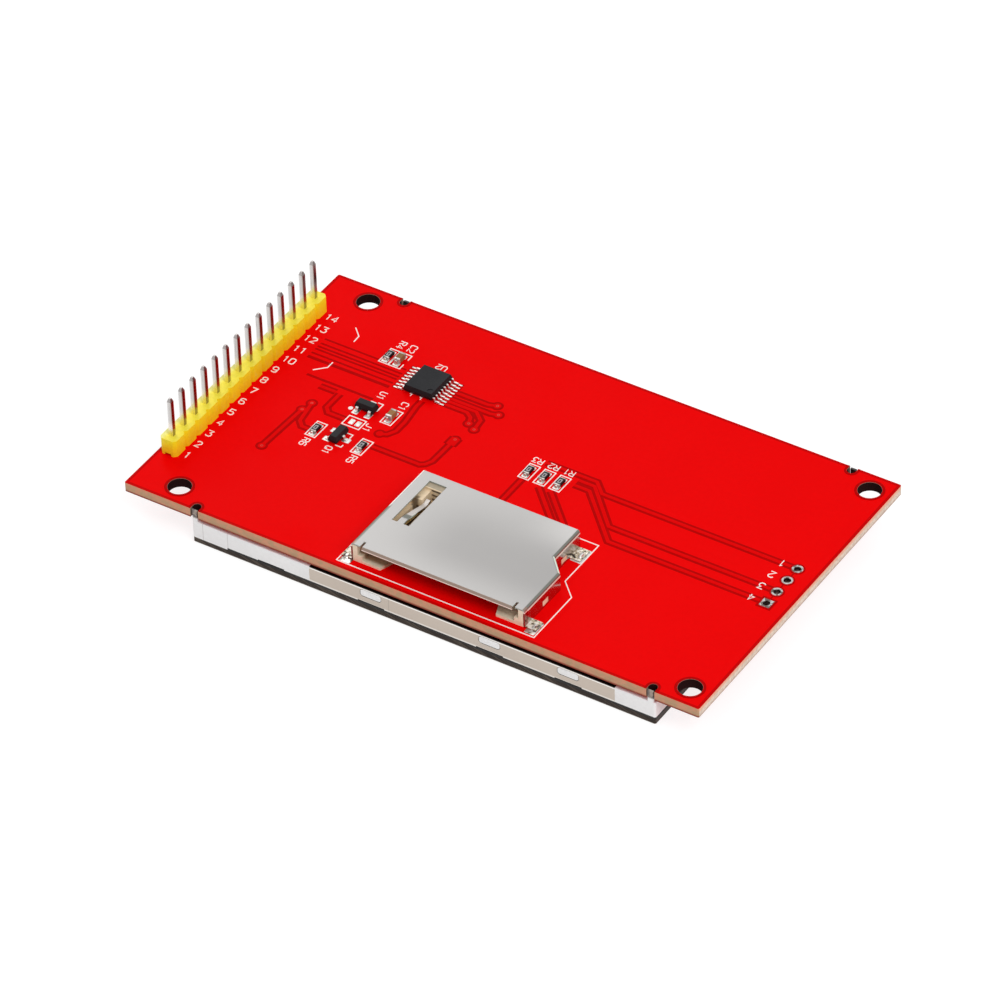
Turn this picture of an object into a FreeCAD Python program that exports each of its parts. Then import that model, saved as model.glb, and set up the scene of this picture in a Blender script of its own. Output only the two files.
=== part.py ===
import FreeCAD, Part
import math
import os

# Colour display module: a circuit board with its connector, card socket and small
# parts on top, and a display with a touch panel stuck to its underside.
# Millimetres. The origin is below the middle of the board, on the face that the
# module rests on. +X runs from the connector to the row of four plated holes,
# +Y from the card socket's mouth to the far edge, +Z away from the display.

# How far a cutting block runs past the face that it opens, and the distance under
# which two edges count as being at the same place
cut_overrun = 1.0
same_place = 0.01

# Circuit board. Plan positions are measured from its corner beside the connector,
# on the side of the socket's mouth. The mounting holes stand in from the board's
# two ends and from both long edges.
board_length = 86.0
board_width = 50.0
board_thickness = 1.4
board_corner_radius = 0.25
mount_hole_radius = 1.6
mount_hole_ends = (6.6, 3.0)
mount_hole_side = 2.95
pin_hole_radius = 0.5
pad_hole_radius = 0.5
pad_hole_count = 4
pad_hole_first = (82.95, 21.43)
hole_pitch = 2.54
solder_film = 0.05

# Pin connector
pin_count = 14
header_inset = 1.76
header_offset = 0.15
housing_width = 2.5
housing_height = 2.54
cell_chamfer = 0.4
housing_channel_width = 1.0
housing_channel_height = 0.35
pin_side = 0.64
pin_above_housing = 6.0
pin_below_board_top = 3.0
pin_point_length = 0.5
pin_point_side = 0.3

# Card socket, shell
shell_left = 33.5
shell_near = 2.1
shell_step_width = 2.25
shell_contact_margin = 1.2
shell_depth = 16.7
shell_height = 2.8
shell_sheet = 0.2
shell_bend = 0.35
shell_step = (8.4, 10.8)
lip_drop = 0.45
lip_reach = 0.12
lip_inset = 1.75
relief_width = 0.35
relief_length = 1.0
window_left = 2.0
window_width = 2.6
window_near = 6.4
window_length = 8.9
spring_left = 0.8
spring_width = 0.95
spring_tip_width = 0.6
spring_root_length = 1.1
spring_length = 6.6
spring_toe_length = 1.0
spring_drop = 1.15
spring_toe_rise = 0.23
spring_bend = 1.0
tab_reach = 1.55
tab_length = 2.4
tab_near = (-0.6, 14.1)
lug_window_length = 1.3
lug_window_height = 0.8
lug_window_low = 0.35
lug_near = (4.2, 12.2)

# Card socket, base and contacts
socket_clearance = 0.05
floor_thickness = 0.4
rail_width = 0.7
rail_step_width = 0.65
rail_step_height = 1.1
rear_wall_depth = 2.4
card_stop_width = 1.9
card_stop_depth = 2.2
card_stop_height = 2.2
card_corner = 3.2
mouth_floor_width = 4.3
mouth_floor_flare = 1.5
mouth_depth = 3.9
contact_count = 9
contact_first = 2.4
contact_pitch = 2.5
contact_last_shift = -0.35
contact_width = 0.8
contact_sheet = 0.15
contact_gap = 0.1
contact_slot_near = 6.7
contact_slot_length = 7.4
contact_held_length = 0.5
contact_rise = 0.95
contact_toe_length = 0.8
contact_toe_drop = 0.285
contact_tail = 1.1
contact_bend = 0.5

# Small parts on the board
controller_centre = (23.0, 36.2)
controller_size = (4.4, 5.0)
controller_height = 1.0
controller_lead_pitch = 0.65
controller_leads_per_side = 8
controller_lead_width = 0.22
controller_lead_reach = 1.0
controller_dimple = (1.55, -1.85)
controller_dimple_radius = 0.4
dimple_depth = 0.06
regulator_centre = (18.75, 28.15)
transistor_centre = (18.75, 21.5)
small_package_size = (1.3, 2.9)
small_package_height = 1.0
small_lead_pitch = 1.9
small_lead_width = 0.4
small_lead_reach = 0.7
lead_thickness = 0.14
lead_height = 0.5
lead_shoulder = 0.2
lead_slope = 0.15
lead_bend = 0.1
package_lift = 0.1
package_draft = 0.16
chip_size = (0.8, 1.6)
chip_cap_length = 0.32
chip_cap_swell = 0.03
resistor_height = 0.45
capacitor_height = 0.8
resistor_centres = (
    (48.3, 28.1), (45.95, 28.1), (43.6, 28.1),
    (15.25, 38.8), (22.4, 21.35), (15.35, 21.35),
)
capacitor_centres = ((22.4, 28.4), (16.95, 38.8))

# Touch panel, from the face that the module rests on
touch_film_thickness = 0.2
touch_glass_thickness = 0.55
gasket_thickness = 0.3

# Display: its outline, with its sides this far in from the board's, and the layers
# from the viewer's side to the board
display_left = 10.4
display_length = 69.3
display_side_inset = 0.0
display_corner_radius = 0.25
glass_thickness = 0.5
polariser_thickness = 0.15
prism_thickness = 0.1
diffuser_thickness = 0.1
guide_thickness = 0.7
reflector_thickness = 0.1
bezel_sheet = 0.2
frame_end_wall = 1.4
frame_far_wall = 1.6
frame_side_wall = 1.8
frame_end_block = 5.3
frame_relief_left = 10.0
frame_relief_length = 4.0
relief_height = 0.15
ledge_length = 4.6
fit_clearance = 0.1
light_left = 7.1
light_right = 2.4
light_side = 2.9
polariser_inset = 0.3
peg_ends = (0.4, 0.7)
peg_width = 0.8
peg_thickness = 0.3
peg_below_top = 0.15
peg_clearance = 0.2
notch_depth = 1.3
bezel_left = 28.3
bezel_length = 45.5
bezel_bend = 0.3
clip_centres = (37.6, 55.35, 66.95)
clip_width = 3.2
clip_height = 1.15
clip_corner = 0.3
clip_from_back = 0.25
clip_gap = 0.08
clip_depth = 0.4
clip_foot_width = 4.0
viewing_margin = 0.6

# Backlight lamps, driver chip and flexible tails
led_count = 4
led_size = (0.9, 3.0, 0.6)
led_flex_thickness = 0.1
led_gap = 0.1
driver_size = (1.3, 17.0, 0.35)
driver_from_edge = 3.1
flex_thickness = 0.1
flex_bend = 0.2
flex_stand_off = 0.25
display_flex_width = 24.0
display_flex_bond = 1.3
display_flex_run = 11.5
flex_notch_margin = 1.0
flex_notch_height = 0.35
touch_flex_width = 5.0
touch_flex_side = 3.0
touch_flex_bond = 1.8
touch_flex_run = 8.0
touch_notch_margin = 0.3

# Adhesive tape between the display and the board
tape_thickness = 0.5
tape_inset = 2.0
tape_width = 8.0
tape_side = 4.0

# Levels, upward
z_touch_glass = touch_film_thickness
z_gasket = z_touch_glass + touch_glass_thickness
z_frame = z_gasket + gasket_thickness
z_array_glass = z_frame + glass_thickness
z_rear_polariser = z_array_glass + glass_thickness
z_prism = z_rear_polariser + polariser_thickness
z_diffuser = z_prism + prism_thickness
z_guide = z_diffuser + diffuser_thickness
z_reflector = z_guide + guide_thickness
z_bezel_plate = z_reflector + reflector_thickness
z_back = z_bezel_plate + bezel_sheet
z_board = z_back + tape_thickness
z_top = z_board + board_thickness

# Plan values that several pieces share
left = -board_length / 2
near = -board_width / 2
display_x0 = left + display_left
display_x1 = display_x0 + display_length
display_y0 = near + display_side_inset
display_y1 = -display_y0
bezel_x0 = left + bezel_left
bezel_x1 = bezel_x0 + bezel_length
light_x0 = display_x0 + light_left
light_x1 = display_x1 - light_right
light_y1 = display_y1 - light_side
led_pitch = 2 * light_y1 / led_count
glass_x0 = display_x0 + frame_end_wall + fit_clearance
glass_x1 = display_x1 - frame_far_wall - fit_clearance
glass_y1 = display_y1 - frame_side_wall - fit_clearance
flex_x = display_x0 - flex_stand_off
shell_x0 = left + shell_left
last_contact_x = shell_x0 + contact_first + (contact_count - 1) * contact_pitch + contact_last_shift
shell_x_rear = last_contact_x + contact_width / 2 + shell_contact_margin
shell_x1 = shell_x_rear + shell_step_width
shell_y0 = near + shell_near
shell_y1 = shell_y0 + shell_depth


def point(u, v, plane, depth):
    """A point given by two flat coordinates in a plane at a depth across it."""
    if plane == "xy":
        return FreeCAD.Vector(u, v, depth)
    if plane == "xz":
        return FreeCAD.Vector(u, depth, v)
    return FreeCAD.Vector(depth, u, v)


def block(x0, x1, y0, y1, z0, z1):
    """A box between two corners."""
    return Part.makeBox(x1 - x0, y1 - y0, z1 - z0, FreeCAD.Vector(x0, y0, z0))


def upright(x, y, z0, z1, radius):
    """A round rod along Z."""
    return Part.makeCylinder(radius, z1 - z0, FreeCAD.Vector(x, y, z0))


def flat_face(corners):
    """A face between straight edges."""
    return Part.Face(Part.makePolygon(corners + corners[:1]))


def drawn(outline, plane, start, end):
    """A flat outline drawn out across its plane, from start to end."""
    face = flat_face([point(u, v, plane, start) for u, v in outline])
    return face.extrude(point(0, 0, plane, end - start))


def stacked(x, y, levels):
    """A solid through rectangles about an upright axis. Each level gives half the
    rectangle's width, half its length and its height."""
    signs = ((-1, -1), (1, -1), (1, 1), (-1, 1))
    rings = [[FreeCAD.Vector(x + a * u, y + b * v, z) for a, b in signs] for u, v, z in levels]
    faces = [flat_face(rings[0]), flat_face(rings[-1])]
    for low, high in zip(rings, rings[1:]):
        for i in range(4):
            faces.append(flat_face([low[i - 1], low[i], high[i], high[i - 1]]))
    return Part.Solid(Part.Shell(faces))


def fused(solids):
    """One solid out of several that touch."""
    return solids[0].fuse(solids[1:]).removeSplitter()


def directions(line):
    """Unit direction of each run of a bent line."""
    runs = []
    for (u0, v0), (u1, v1) in zip(line, line[1:]):
        length = math.hypot(u1 - u0, v1 - v0)
        runs.append(((u1 - u0) / length, (v1 - v0) / length))
    return runs


def moved_aside(line, distance):
    """A bent line moved sideways to its left, with its corners mitred."""
    runs = directions(line)
    moved = []
    for i, (u, v) in enumerate(line):
        (a0, b0), (a1, b1) = runs[max(i - 1, 0)], runs[min(i, len(runs) - 1)]
        across = (-(b0 + b1), a0 + a1)
        reach = 2 * distance / (across[0] ** 2 + across[1] ** 2)
        moved.append((u + across[0] * reach, v + across[1] * reach))
    return moved


def straight(a, b, plane, depth):
    """A straight edge between two flat points."""
    return Part.LineSegment(point(*a, plane, depth), point(*b, plane, depth)).toShape()


def bent_edges(line, radii, plane, depth):
    """Lines and arcs along a bent line, each corner rounded by its radius."""
    runs = directions(line)
    edges = []
    start = line[0]
    for (u, v), radius, (a0, b0), (a1, b1) in zip(line[1:-1], radii, runs, runs[1:]):
        half_turn = math.acos(max(-1.0, min(1.0, a0 * a1 + b0 * b1))) / 2
        tangent = radius * math.tan(half_turn)
        bulge = radius / math.cos(half_turn) - radius
        inward = math.hypot(a1 - a0, b1 - b0)
        enter = (u - a0 * tangent, v - b0 * tangent)
        middle = (u + (a1 - a0) / inward * bulge, v + (b1 - b0) / inward * bulge)
        leave = (u + a1 * tangent, v + b1 * tangent)
        edges.append(straight(start, enter, plane, depth))
        arc = [point(*p, plane, depth) for p in (enter, middle, leave)]
        edges.append(Part.Arc(*arc).toShape())
        start = leave
    edges.append(straight(start, line[-1], plane, depth))
    return edges


def bent_sheet(line, thickness, radius, plane, start, end):
    """A sheet that follows a bent line: its middle line, its thickness and the
    radius of its bends, drawn out across the plane from start to end."""
    runs = directions(line)
    turns = [math.copysign(1, a0 * b1 - b0 * a1) for (a0, b0), (a1, b1) in zip(runs, runs[1:])]
    edges = []
    sides = []
    for side in (thickness / 2, -thickness / 2):
        side_line = moved_aside(line, side)
        edges += bent_edges(side_line, [radius - turn * side for turn in turns], plane, start)
        sides.append(side_line)
    for i in (0, -1):
        edges.append(straight(sides[0][i], sides[1][i], plane, start))
    face = Part.Face(Part.Wire(Part.__sortEdges__(edges)))
    return face.extrude(point(0, 0, plane, end - start))


def corners_in(x0, x1, y1, ends, side):
    """Four places in from the corners of a rectangle: by one distance from each
    end and by another from both sides."""
    return [(x, y) for x in (x0 + ends[0], x1 - ends[1]) for y in (side - y1, y1 - side)]


def mount_hole_places():
    """Centres of the mounting holes."""
    return corners_in(left, -left, -near, mount_hole_ends, mount_hole_side)


def peg_places():
    """Middles of the display frame's flat pegs, each with its outer face flush
    with the frame's side."""
    return corners_in(display_x0, display_x1, display_y1, peg_ends, peg_thickness / 2)


def header_pin_places():
    """Centres of the connector's pins."""
    middle = header_offset - (pin_count - 1) * hole_pitch / 2
    return [(left + header_inset, middle + i * hole_pitch) for i in range(pin_count)]


def contact_places():
    """Centres of the card contacts across the socket."""
    places = [shell_x0 + contact_first + i * contact_pitch for i in range(contact_count - 1)]
    return places + [last_contact_x]


def peg_notch(x, side):
    """Space of one notch for a peg in a long edge of the board, with a half round
    inner end."""
    radius = peg_width / 2 + peg_clearance
    middle = side * (-near - notch_depth + radius)
    y0, y1 = sorted((side * -near, middle))
    end = upright(x, middle, z_board, z_top, radius)
    return end.fuse(block(x - radius, x + radius, y0, y1, z_board, z_top))


def circuit_board():
    """Board with rounded corners, four mounting holes, plated holes for the
    connector and the spare row, and a peg notch near each end of both edges."""
    board = block(left, -left, near, -near, z_board, z_top)
    corners = [edge for edge in board.Edges if edge.BoundBox.ZLength > board_thickness / 2]
    board = board.makeFillet(board_corner_radius, corners)
    pads = [(left + pad_hole_first[0], near + pad_hole_first[1] + i * hole_pitch)
            for i in range(pad_hole_count)]
    holes = []
    for places, radius in ((mount_hole_places(), mount_hole_radius),
                           (header_pin_places(), pin_hole_radius),
                           (pads, pad_hole_radius)):
        holes += [upright(x, y, z_board, z_top, radius) for x, y in places]
    notches = [peg_notch(x, 1 if y > 0 else -1) for x, y in peg_places()]
    return board.cut(holes + notches)


def header_housing():
    """Row of eight-sided cells in one moulding, with a channel under it and a
    square hole for each pin."""
    pins = header_pin_places()
    x = pins[0][0]
    half = housing_width / 2
    side = []
    for _, y in pins:
        side.append((half - cell_chamfer, y - hole_pitch / 2))
        side.append((half, y - hole_pitch / 2 + cell_chamfer))
        side.append((half, y + hole_pitch / 2 - cell_chamfer))
    side.append((half - cell_chamfer, pins[-1][1] + hole_pitch / 2))
    outline = [(x + u, y) for u, y in side] + [(x - u, y) for u, y in reversed(side)]
    top = z_top + housing_height
    housing = drawn(outline, "xy", z_top, top)
    channel = block(x - housing_channel_width / 2, x + housing_channel_width / 2,
                    pins[0][1] - hole_pitch, pins[-1][1] + hole_pitch,
                    z_top, z_top + housing_channel_height)
    half_pin = pin_side / 2
    holes = [block(x - half_pin, x + half_pin, y - half_pin, y + half_pin, z_top, top) for _, y in pins]
    return housing.cut([channel] + holes)


def header_pin(x, y):
    """Square pin with both ends pointed."""
    bottom = z_top - pin_below_board_top
    top = z_top + housing_height + pin_above_housing
    body = pin_side / 2
    tip = pin_point_side / 2
    return stacked(x, y, [(tip, tip, bottom), (body, body, bottom + pin_point_length),
                          (body, body, top - pin_point_length), (tip, tip, top)])


def shell_outline(inset, overrun):
    """Plan of the socket's shell: wider at the mouth, with a slanted step on its
    right side, drawn in by an inset there and run past its open ends."""
    slant = (shell_step[1] - shell_step[0]) / shell_step_width
    shift = inset * (math.hypot(1, slant) - slant)
    return [(shell_x0 + inset, shell_y0 - overrun), (shell_x1 - inset, shell_y0 - overrun),
            (shell_x1 - inset, shell_y0 + shell_step[0] - shift),
            (shell_x_rear - inset, shell_y0 + shell_step[1] - shift),
            (shell_x_rear - inset, shell_y1 + overrun), (shell_x0 + inset, shell_y1 + overrun)]


def rounded_cover(inset, overrun, height, radius):
    """The shell's plan as a solid whose long upper edges are rounded."""
    cover = drawn(shell_outline(inset, overrun), "xy", z_top, z_top + height)
    ends = (shell_y0 - overrun, shell_y1 + overrun)
    edges = []
    for edge in cover.Edges:
        box = edge.BoundBox
        upper = box.ZMin > z_top + height / 2
        at_end = min(abs(box.Center.y - end) for end in ends) < same_place
        if upper and not at_end:
            edges.append(edge)
    return cover.makeFillet(radius, edges)


def side_walls():
    """Outer face of the shell's left wall and of its right wall at each pair of
    tabs and lugs: the face's place and the direction out of it."""
    return [(shell_x0, -1, 0), (shell_x1, 1, 0), (shell_x0, -1, 1), (shell_x_rear, 1, 1)]


def lug_block(x0, x1, row, clearance):
    """Space of a window in a side wall between two places along X, or of the lug
    that fills it but for a clearance."""
    y = shell_y0 + lug_near[row]
    z = z_top + lug_window_low
    return block(min(x0, x1), max(x0, x1), y + clearance, y + lug_window_length - clearance,
                 z + clearance, z + lug_window_height - clearance)


def leaf_spring():
    """Narrowing tongue of the shell that leans down into the card's way and
    turns up again at its toe."""
    x0 = shell_x0 + window_left + spring_left
    x1 = x0 + spring_width
    y0 = shell_y0 + window_near
    y1 = y0 + spring_length
    z = z_top + shell_height - shell_sheet / 2
    line = [(y0 - shell_sheet, z), (y0 + spring_root_length, z),
            (y1 - spring_toe_length, z - spring_drop), (y1, z - spring_drop + spring_toe_rise)]
    tongue = bent_sheet(line, shell_sheet, spring_bend, "yz", x0, x1)
    taper = (spring_width - spring_tip_width) / 2
    root = y0 - cut_overrun
    tip = y1 + shell_sheet
    plan = [(x0, root), (x1, root), (x1, y0), (x1 - taper, tip), (x0 + taper, tip), (x0, y0)]
    return tongue.common(drawn(plan, "xy", z_top, z_top + shell_height))


def card_socket_shell():
    """Folded steel cover: a top with rounded bends into side walls, a turned
    down front lip between two relief slots, a window with a leaf spring,
    four solder tabs and a window beside each for the base's lug."""
    shell = rounded_cover(0, 0, shell_height, shell_bend)
    inside = rounded_cover(shell_sheet, cut_overrun, shell_height - shell_sheet, shell_bend - shell_sheet)
    lip_x0 = shell_x0 + lip_inset
    lip_x1 = shell_x1 - lip_inset
    top = z_top + shell_height
    middle = top - shell_sheet / 2
    lip_y = shell_y0 - lip_reach
    lip_line = [(shell_y0 + shell_sheet, middle), (lip_y, middle), (lip_y, top - lip_drop)]
    lip = bent_sheet(lip_line, shell_sheet, shell_sheet, "yz", lip_x0, lip_x1)
    tabs = []
    for wall, outward, row in side_walls():
        y = shell_y0 + tab_near[row]
        x0, x1 = sorted((wall - outward * shell_sheet, wall + outward * tab_reach))
        tabs.append(block(x0, x1, max(y, shell_y0), y + tab_length, z_top, z_top + shell_sheet))
    x0 = shell_x0 + window_left
    y0 = shell_y0 + window_near
    cuts = [block(x0, x0 + window_width, y0, y0 + window_length, top - cut_overrun, top)]
    for x in (lip_x0 - relief_width, lip_x1):
        cuts.append(block(x, x + relief_width, shell_y0 - cut_overrun, shell_y0 + relief_length,
                          top - cut_overrun, top))
    for wall, _, row in side_walls():
        cuts.append(lug_block(wall - cut_overrun, wall + cut_overrun, row, 0))
    return fused([shell.cut(inside), lip] + tabs).cut(cuts).fuse(leaf_spring()).removeSplitter()


def card_socket_base():
    """Moulded base: stepped side rails, a floor that opens at the mouth, a rear
    wall with a card stop, a slot for each contact and a lug in each window."""
    inset = shell_sheet + socket_clearance
    height = shell_height - inset
    base = drawn(shell_outline(inset, 0), "xy", z_top, z_top + height)
    x0 = shell_x0 + inset + rail_width
    x1 = shell_x1 - inset - rail_width
    y_mouth = shell_y0 - cut_overrun
    y_back = shell_y1 - rear_wall_depth
    stop_x = x0 + card_stop_width
    stop_y = y_back - card_stop_depth
    turn = card_corner + rail_width

    def card_space(narrower, z0, z1):
        """The card's way between two levels, drawn in at its sides."""
        u0 = x0 + narrower
        u1 = x1 - narrower
        outline = [(u0, y_mouth), (u1, y_mouth), (u1, y_back - turn), (u1 - turn, y_back),
                   (stop_x, y_back), (stop_x, stop_y), (u0, stop_y)]
        return drawn(outline, "xy", z0, z1)

    floor = z_top + floor_thickness
    step = z_top + rail_step_height
    over = z_top + height
    cuts = [card_space(0, step, over), card_space(rail_step_width, floor, step)]
    cuts.append(block(x0, stop_x, stop_y, y_back, z_top + card_stop_height, over))
    mouth_x0 = shell_x0 + mouth_floor_width
    mouth_x1 = shell_x1 - mouth_floor_width
    y_inner = shell_y0 + mouth_depth
    mouth = [(mouth_x0, shell_y0), (mouth_x1, shell_y0),
             (mouth_x1 - mouth_floor_flare, y_inner), (mouth_x0 + mouth_floor_flare, y_inner)]
    cuts.append(drawn(mouth, "xy", z_top, floor))
    half_slot = contact_width / 2 + contact_gap
    y0 = shell_y0 + contact_slot_near
    y1 = y0 + contact_slot_length
    tail_top = z_top + solder_film + contact_sheet + contact_gap
    for x in contact_places():
        cuts.append(block(x - half_slot, x + half_slot, y0, y1, z_top, step))
        cuts.append(block(x - half_slot, x + half_slot, y1, shell_y1, z_top, tail_top))
    lugs = [lug_block(wall - outward * (inset + rail_width / 2), wall, row, socket_clearance)
            for wall, outward, row in side_walls()]
    return fused([base.cut(cuts)] + lugs)


def card_contacts():
    """Contact springs: a tail on the board behind the socket, a straight run
    through the rear wall and an arm that rises to meet the card."""
    y_tail = shell_y1 + contact_tail
    y_toe = shell_y0 + contact_slot_near + contact_gap
    y_rise = shell_y0 + contact_slot_near + contact_slot_length - contact_held_length
    flat = z_top + solder_film + contact_sheet / 2
    high = flat + contact_rise
    line = [(y_tail, flat), (y_rise, flat), (y_toe + contact_toe_length, high),
            (y_toe, high - contact_toe_drop)]
    half = contact_width / 2
    return Part.makeCompound([
        bent_sheet(line, contact_sheet, contact_bend, "yz", x - half, x + half)
        for x in contact_places()
    ])


def moulded_package(size, height):
    """Moulded chip package about the origin: tapered below and above a straight
    band, where its leads come out."""
    u, v = size[0] / 2, size[1] / 2
    insets = ((package_draft / 2, package_lift), (0, lead_height - lead_thickness / 2),
              (0, lead_height + lead_thickness / 2), (package_draft, package_lift + height))
    return stacked(0, 0, [(u - inset, v - inset, z) for inset, z in insets])


def gull_lead(face, reach, y, width):
    """Lead that leaves a package's side at face, steps down and ends in a foot."""
    foot = lead_thickness / 2
    line = [(face, lead_height), (face + lead_shoulder, lead_height),
            (face + lead_shoulder + lead_slope, foot), (face + reach, foot)]
    return bent_sheet(line, lead_thickness, lead_bend, "xz", y - width / 2, y + width / 2)


def placed(shape, centre, turn):
    """A shape about the origin, turned about Z and set on the board's solder."""
    moved = shape.copy()
    moved.rotate(FreeCAD.Vector(0, 0, 0), FreeCAD.Vector(0, 0, 1), turn)
    moved.translate(FreeCAD.Vector(left + centre[0], near + centre[1], z_top + solder_film))
    return moved


def controller():
    """Touch controller: package with a dimple by its first lead, and its leads."""
    body = moulded_package(controller_size, controller_height)
    top = package_lift + controller_height
    body = body.cut(upright(*controller_dimple, top - dimple_depth, top, controller_dimple_radius))
    leads = []
    for i in range(controller_leads_per_side):
        y = (i - (controller_leads_per_side - 1) / 2) * controller_lead_pitch
        lead = gull_lead(controller_size[0] / 2, controller_lead_reach, y, controller_lead_width)
        opposite = lead.copy()
        opposite.rotate(FreeCAD.Vector(0, 0, 0), FreeCAD.Vector(0, 0, 1), 180)
        leads += [lead, opposite]
    return placed(body, controller_centre, 0), placed(Part.makeCompound(leads), controller_centre, 0)


def three_lead_part(centre, turn):
    """Small package with one lead on one side and two on the other."""
    body = moulded_package(small_package_size, small_package_height)
    face = small_package_size[0] / 2
    single = gull_lead(face, small_lead_reach, 0, small_lead_width)
    leads = [single]
    for y in (-small_lead_pitch / 2, small_lead_pitch / 2):
        lead = gull_lead(face, small_lead_reach, y, small_lead_width)
        lead.rotate(FreeCAD.Vector(0, 0, 0), FreeCAD.Vector(0, 0, 1), 180)
        leads.append(lead)
    return placed(body, centre, turn), placed(Part.makeCompound(leads), centre, turn)


def chip(centre, height):
    """Ceramic chip with a metal cap round each end, as one block."""
    width, length = chip_size
    swell = chip_cap_swell
    body = block(-width / 2, width / 2, -length / 2 + swell, length / 2 - swell, swell, height - swell)
    caps = []
    for end in (-1, 1):
        y0, y1 = sorted((end * length / 2, end * (length / 2 - chip_cap_length)))
        cap = block(-width / 2 - swell, width / 2 + swell, y0, y1, 0, height)
        caps.append(cap.makeChamfer(swell, cap.Edges))
    return placed(fused([body] + caps), centre, 0)


def ring(x0, x1, y1, inner_x0, inner_x1, inner_y1, z0, z1):
    """Flat rectangular frame, alike on both sides of the middle."""
    outer = block(x0, x1, -y1, y1, z0, z1)
    return outer.cut(block(inner_x0, inner_x1, -inner_y1, inner_y1, z0, z1))


def display_outline(z0, z1):
    """Solid over the display's outline, with its four corners rounded."""
    body = block(display_x0, display_x1, display_y0, display_y1, z0, z1)
    corners = [edge for edge in body.Edges if edge.BoundBox.ZLength > (z1 - z0) / 2]
    return body.makeFillet(display_corner_radius, corners)


def clip_space(centre, gap, side, depth):
    """Space of one clip in a long side of the display, from the outer face in,
    with its corners cut off."""
    x = left + centre
    half = clip_width / 2 - gap
    z1 = z_back - clip_from_back
    y0, y1 = sorted((side * display_y1, side * (display_y1 - depth)))
    space = block(x - half, x + half, y0, y1, z1 - clip_height + gap, z1 - gap)
    corners = [edge for edge in space.Edges if edge.BoundBox.YLength > depth / 2]
    return space.makeChamfer(clip_corner - gap, corners)


def backlight_frame():
    """White moulded frame: a pocket for the lamps and light guide, a wider one
    for the glass, a notch for the flexible tail, seats for the steel cover,
    clips that fill its windows and flat pegs that enter the board's notches."""
    body = block(display_x0, display_x1, display_y0, display_y1, z_frame, z_back)
    end_x = display_x0 + frame_end_block
    body = body.fuse(block(display_x0, end_x, display_y0, display_y1, z_gasket, z_frame))
    wall_x0 = display_x0 + frame_end_wall
    wall_x1 = display_x1 - frame_far_wall
    cell_y1 = display_y1 - frame_side_wall
    lamp_x0 = light_x0 - led_gap - led_size[0] - fit_clearance
    guide_y1 = light_y1 + fit_clearance
    half_notch = display_flex_width / 2 + flex_notch_margin
    notch_z1 = z_array_glass + flex_notch_height
    relief_x0 = display_x0 + frame_relief_left
    relief_x1 = relief_x0 + frame_relief_length
    cuts = [
        block(wall_x0, wall_x1, -cell_y1, cell_y1, z_gasket, z_rear_polariser),
        block(lamp_x0, light_x1 + fit_clearance, -guide_y1, guide_y1, z_rear_polariser, z_bezel_plate),
        block(display_x0, wall_x0, -half_notch, half_notch, z_gasket, notch_z1),
        block(bezel_x0, bezel_x1, display_y0, display_y1, z_bezel_plate, z_back),
    ]
    for side in (-1, 1):
        y0, y1 = sorted((side * display_y1, side * (display_y1 - bezel_sheet)))
        cuts.append(block(bezel_x0, bezel_x1, y0, y1, z_frame, z_back))
        y0, y1 = sorted((side * display_y1, side * cell_y1))
        cuts.append(block(relief_x0, relief_x1, y0, y1, z_frame, z_frame + relief_height))
    clips = [clip_space(centre, clip_gap, side, clip_depth) for centre in clip_centres for side in (-1, 1)]
    peg_top = z_top - peg_below_top
    half_peg = peg_width / 2
    half_thick = peg_thickness / 2
    pegs = [block(x - half_peg, x + half_peg, y - half_thick, y + half_thick, z_back, peg_top)
            for x, y in peg_places()]
    return fused([body.cut(cuts)] + clips + pegs).common(display_outline(z_gasket, peg_top))


def steel_cover():
    """Sheet steel back cover folded over both long sides, with rounded bends, a
    window for each clip and a shallow notch in the edge below it."""
    outer = block(bezel_x0, bezel_x1, display_y0, display_y1, z_frame, z_back)
    folds = [edge for edge in outer.Edges
             if edge.BoundBox.ZMin > z_bezel_plate and edge.BoundBox.XLength > bezel_length / 2]
    outer = outer.makeFillet(bezel_bend, folds)
    inner_y1 = display_y1 - bezel_sheet
    cuts = [block(bezel_x0, bezel_x1, -inner_y1, inner_y1, z_frame, z_bezel_plate)]
    half_foot = clip_foot_width / 2
    for centre in clip_centres:
        x = left + centre
        for side in (-1, 1):
            y0, y1 = sorted((side * display_y1, side * inner_y1))
            cuts.append(clip_space(centre, 0, side, bezel_sheet))
            cuts.append(block(x - half_foot, x + half_foot, y0, y1, z_frame, z_frame + relief_height))
    return outer.cut(cuts)


def light_sheet(z, thickness, inset):
    """One of the backlight's sheets, or a polariser, over the lit area."""
    return block(light_x0 + inset, light_x1 - inset, -light_y1 + inset, light_y1 - inset, z, z + thickness)


def touch_gasket():
    """Black foam frame between the display and the touch panel."""
    x0 = display_x0 + frame_end_block
    gasket = ring(x0, display_x1, display_y1, light_x0 + viewing_margin, light_x1 - viewing_margin,
                  light_y1 - viewing_margin, z_gasket, z_frame)
    return gasket.common(display_outline(z_gasket, z_frame))


def touch_flex_sides():
    """Both sides of the touch panel's tail across the module."""
    y1 = display_y1 - touch_flex_side
    return y1 - touch_flex_width, y1


def touch_film():
    """Film of the touch panel, cut away where its tail is bonded."""
    y0, y1 = touch_flex_sides()
    notch = block(display_x0, display_x0 + touch_flex_bond + touch_notch_margin,
                  y0 - touch_notch_margin, y1 + touch_notch_margin, 0, touch_film_thickness)
    return display_outline(0, touch_film_thickness).cut(notch)


def flexible_tail(bond_x, bond_z, run, y0, y1):
    """Flexible circuit from a glass edge, round the display's end and back along
    the underside of the board."""
    low = bond_z - flex_thickness / 2
    high = z_board - flex_thickness / 2
    line = [(bond_x, low), (flex_x, low), (flex_x, high), (display_x0 + run, high)]
    return bent_sheet(line, flex_thickness, flex_bend, "xz", y0, y1)


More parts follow.
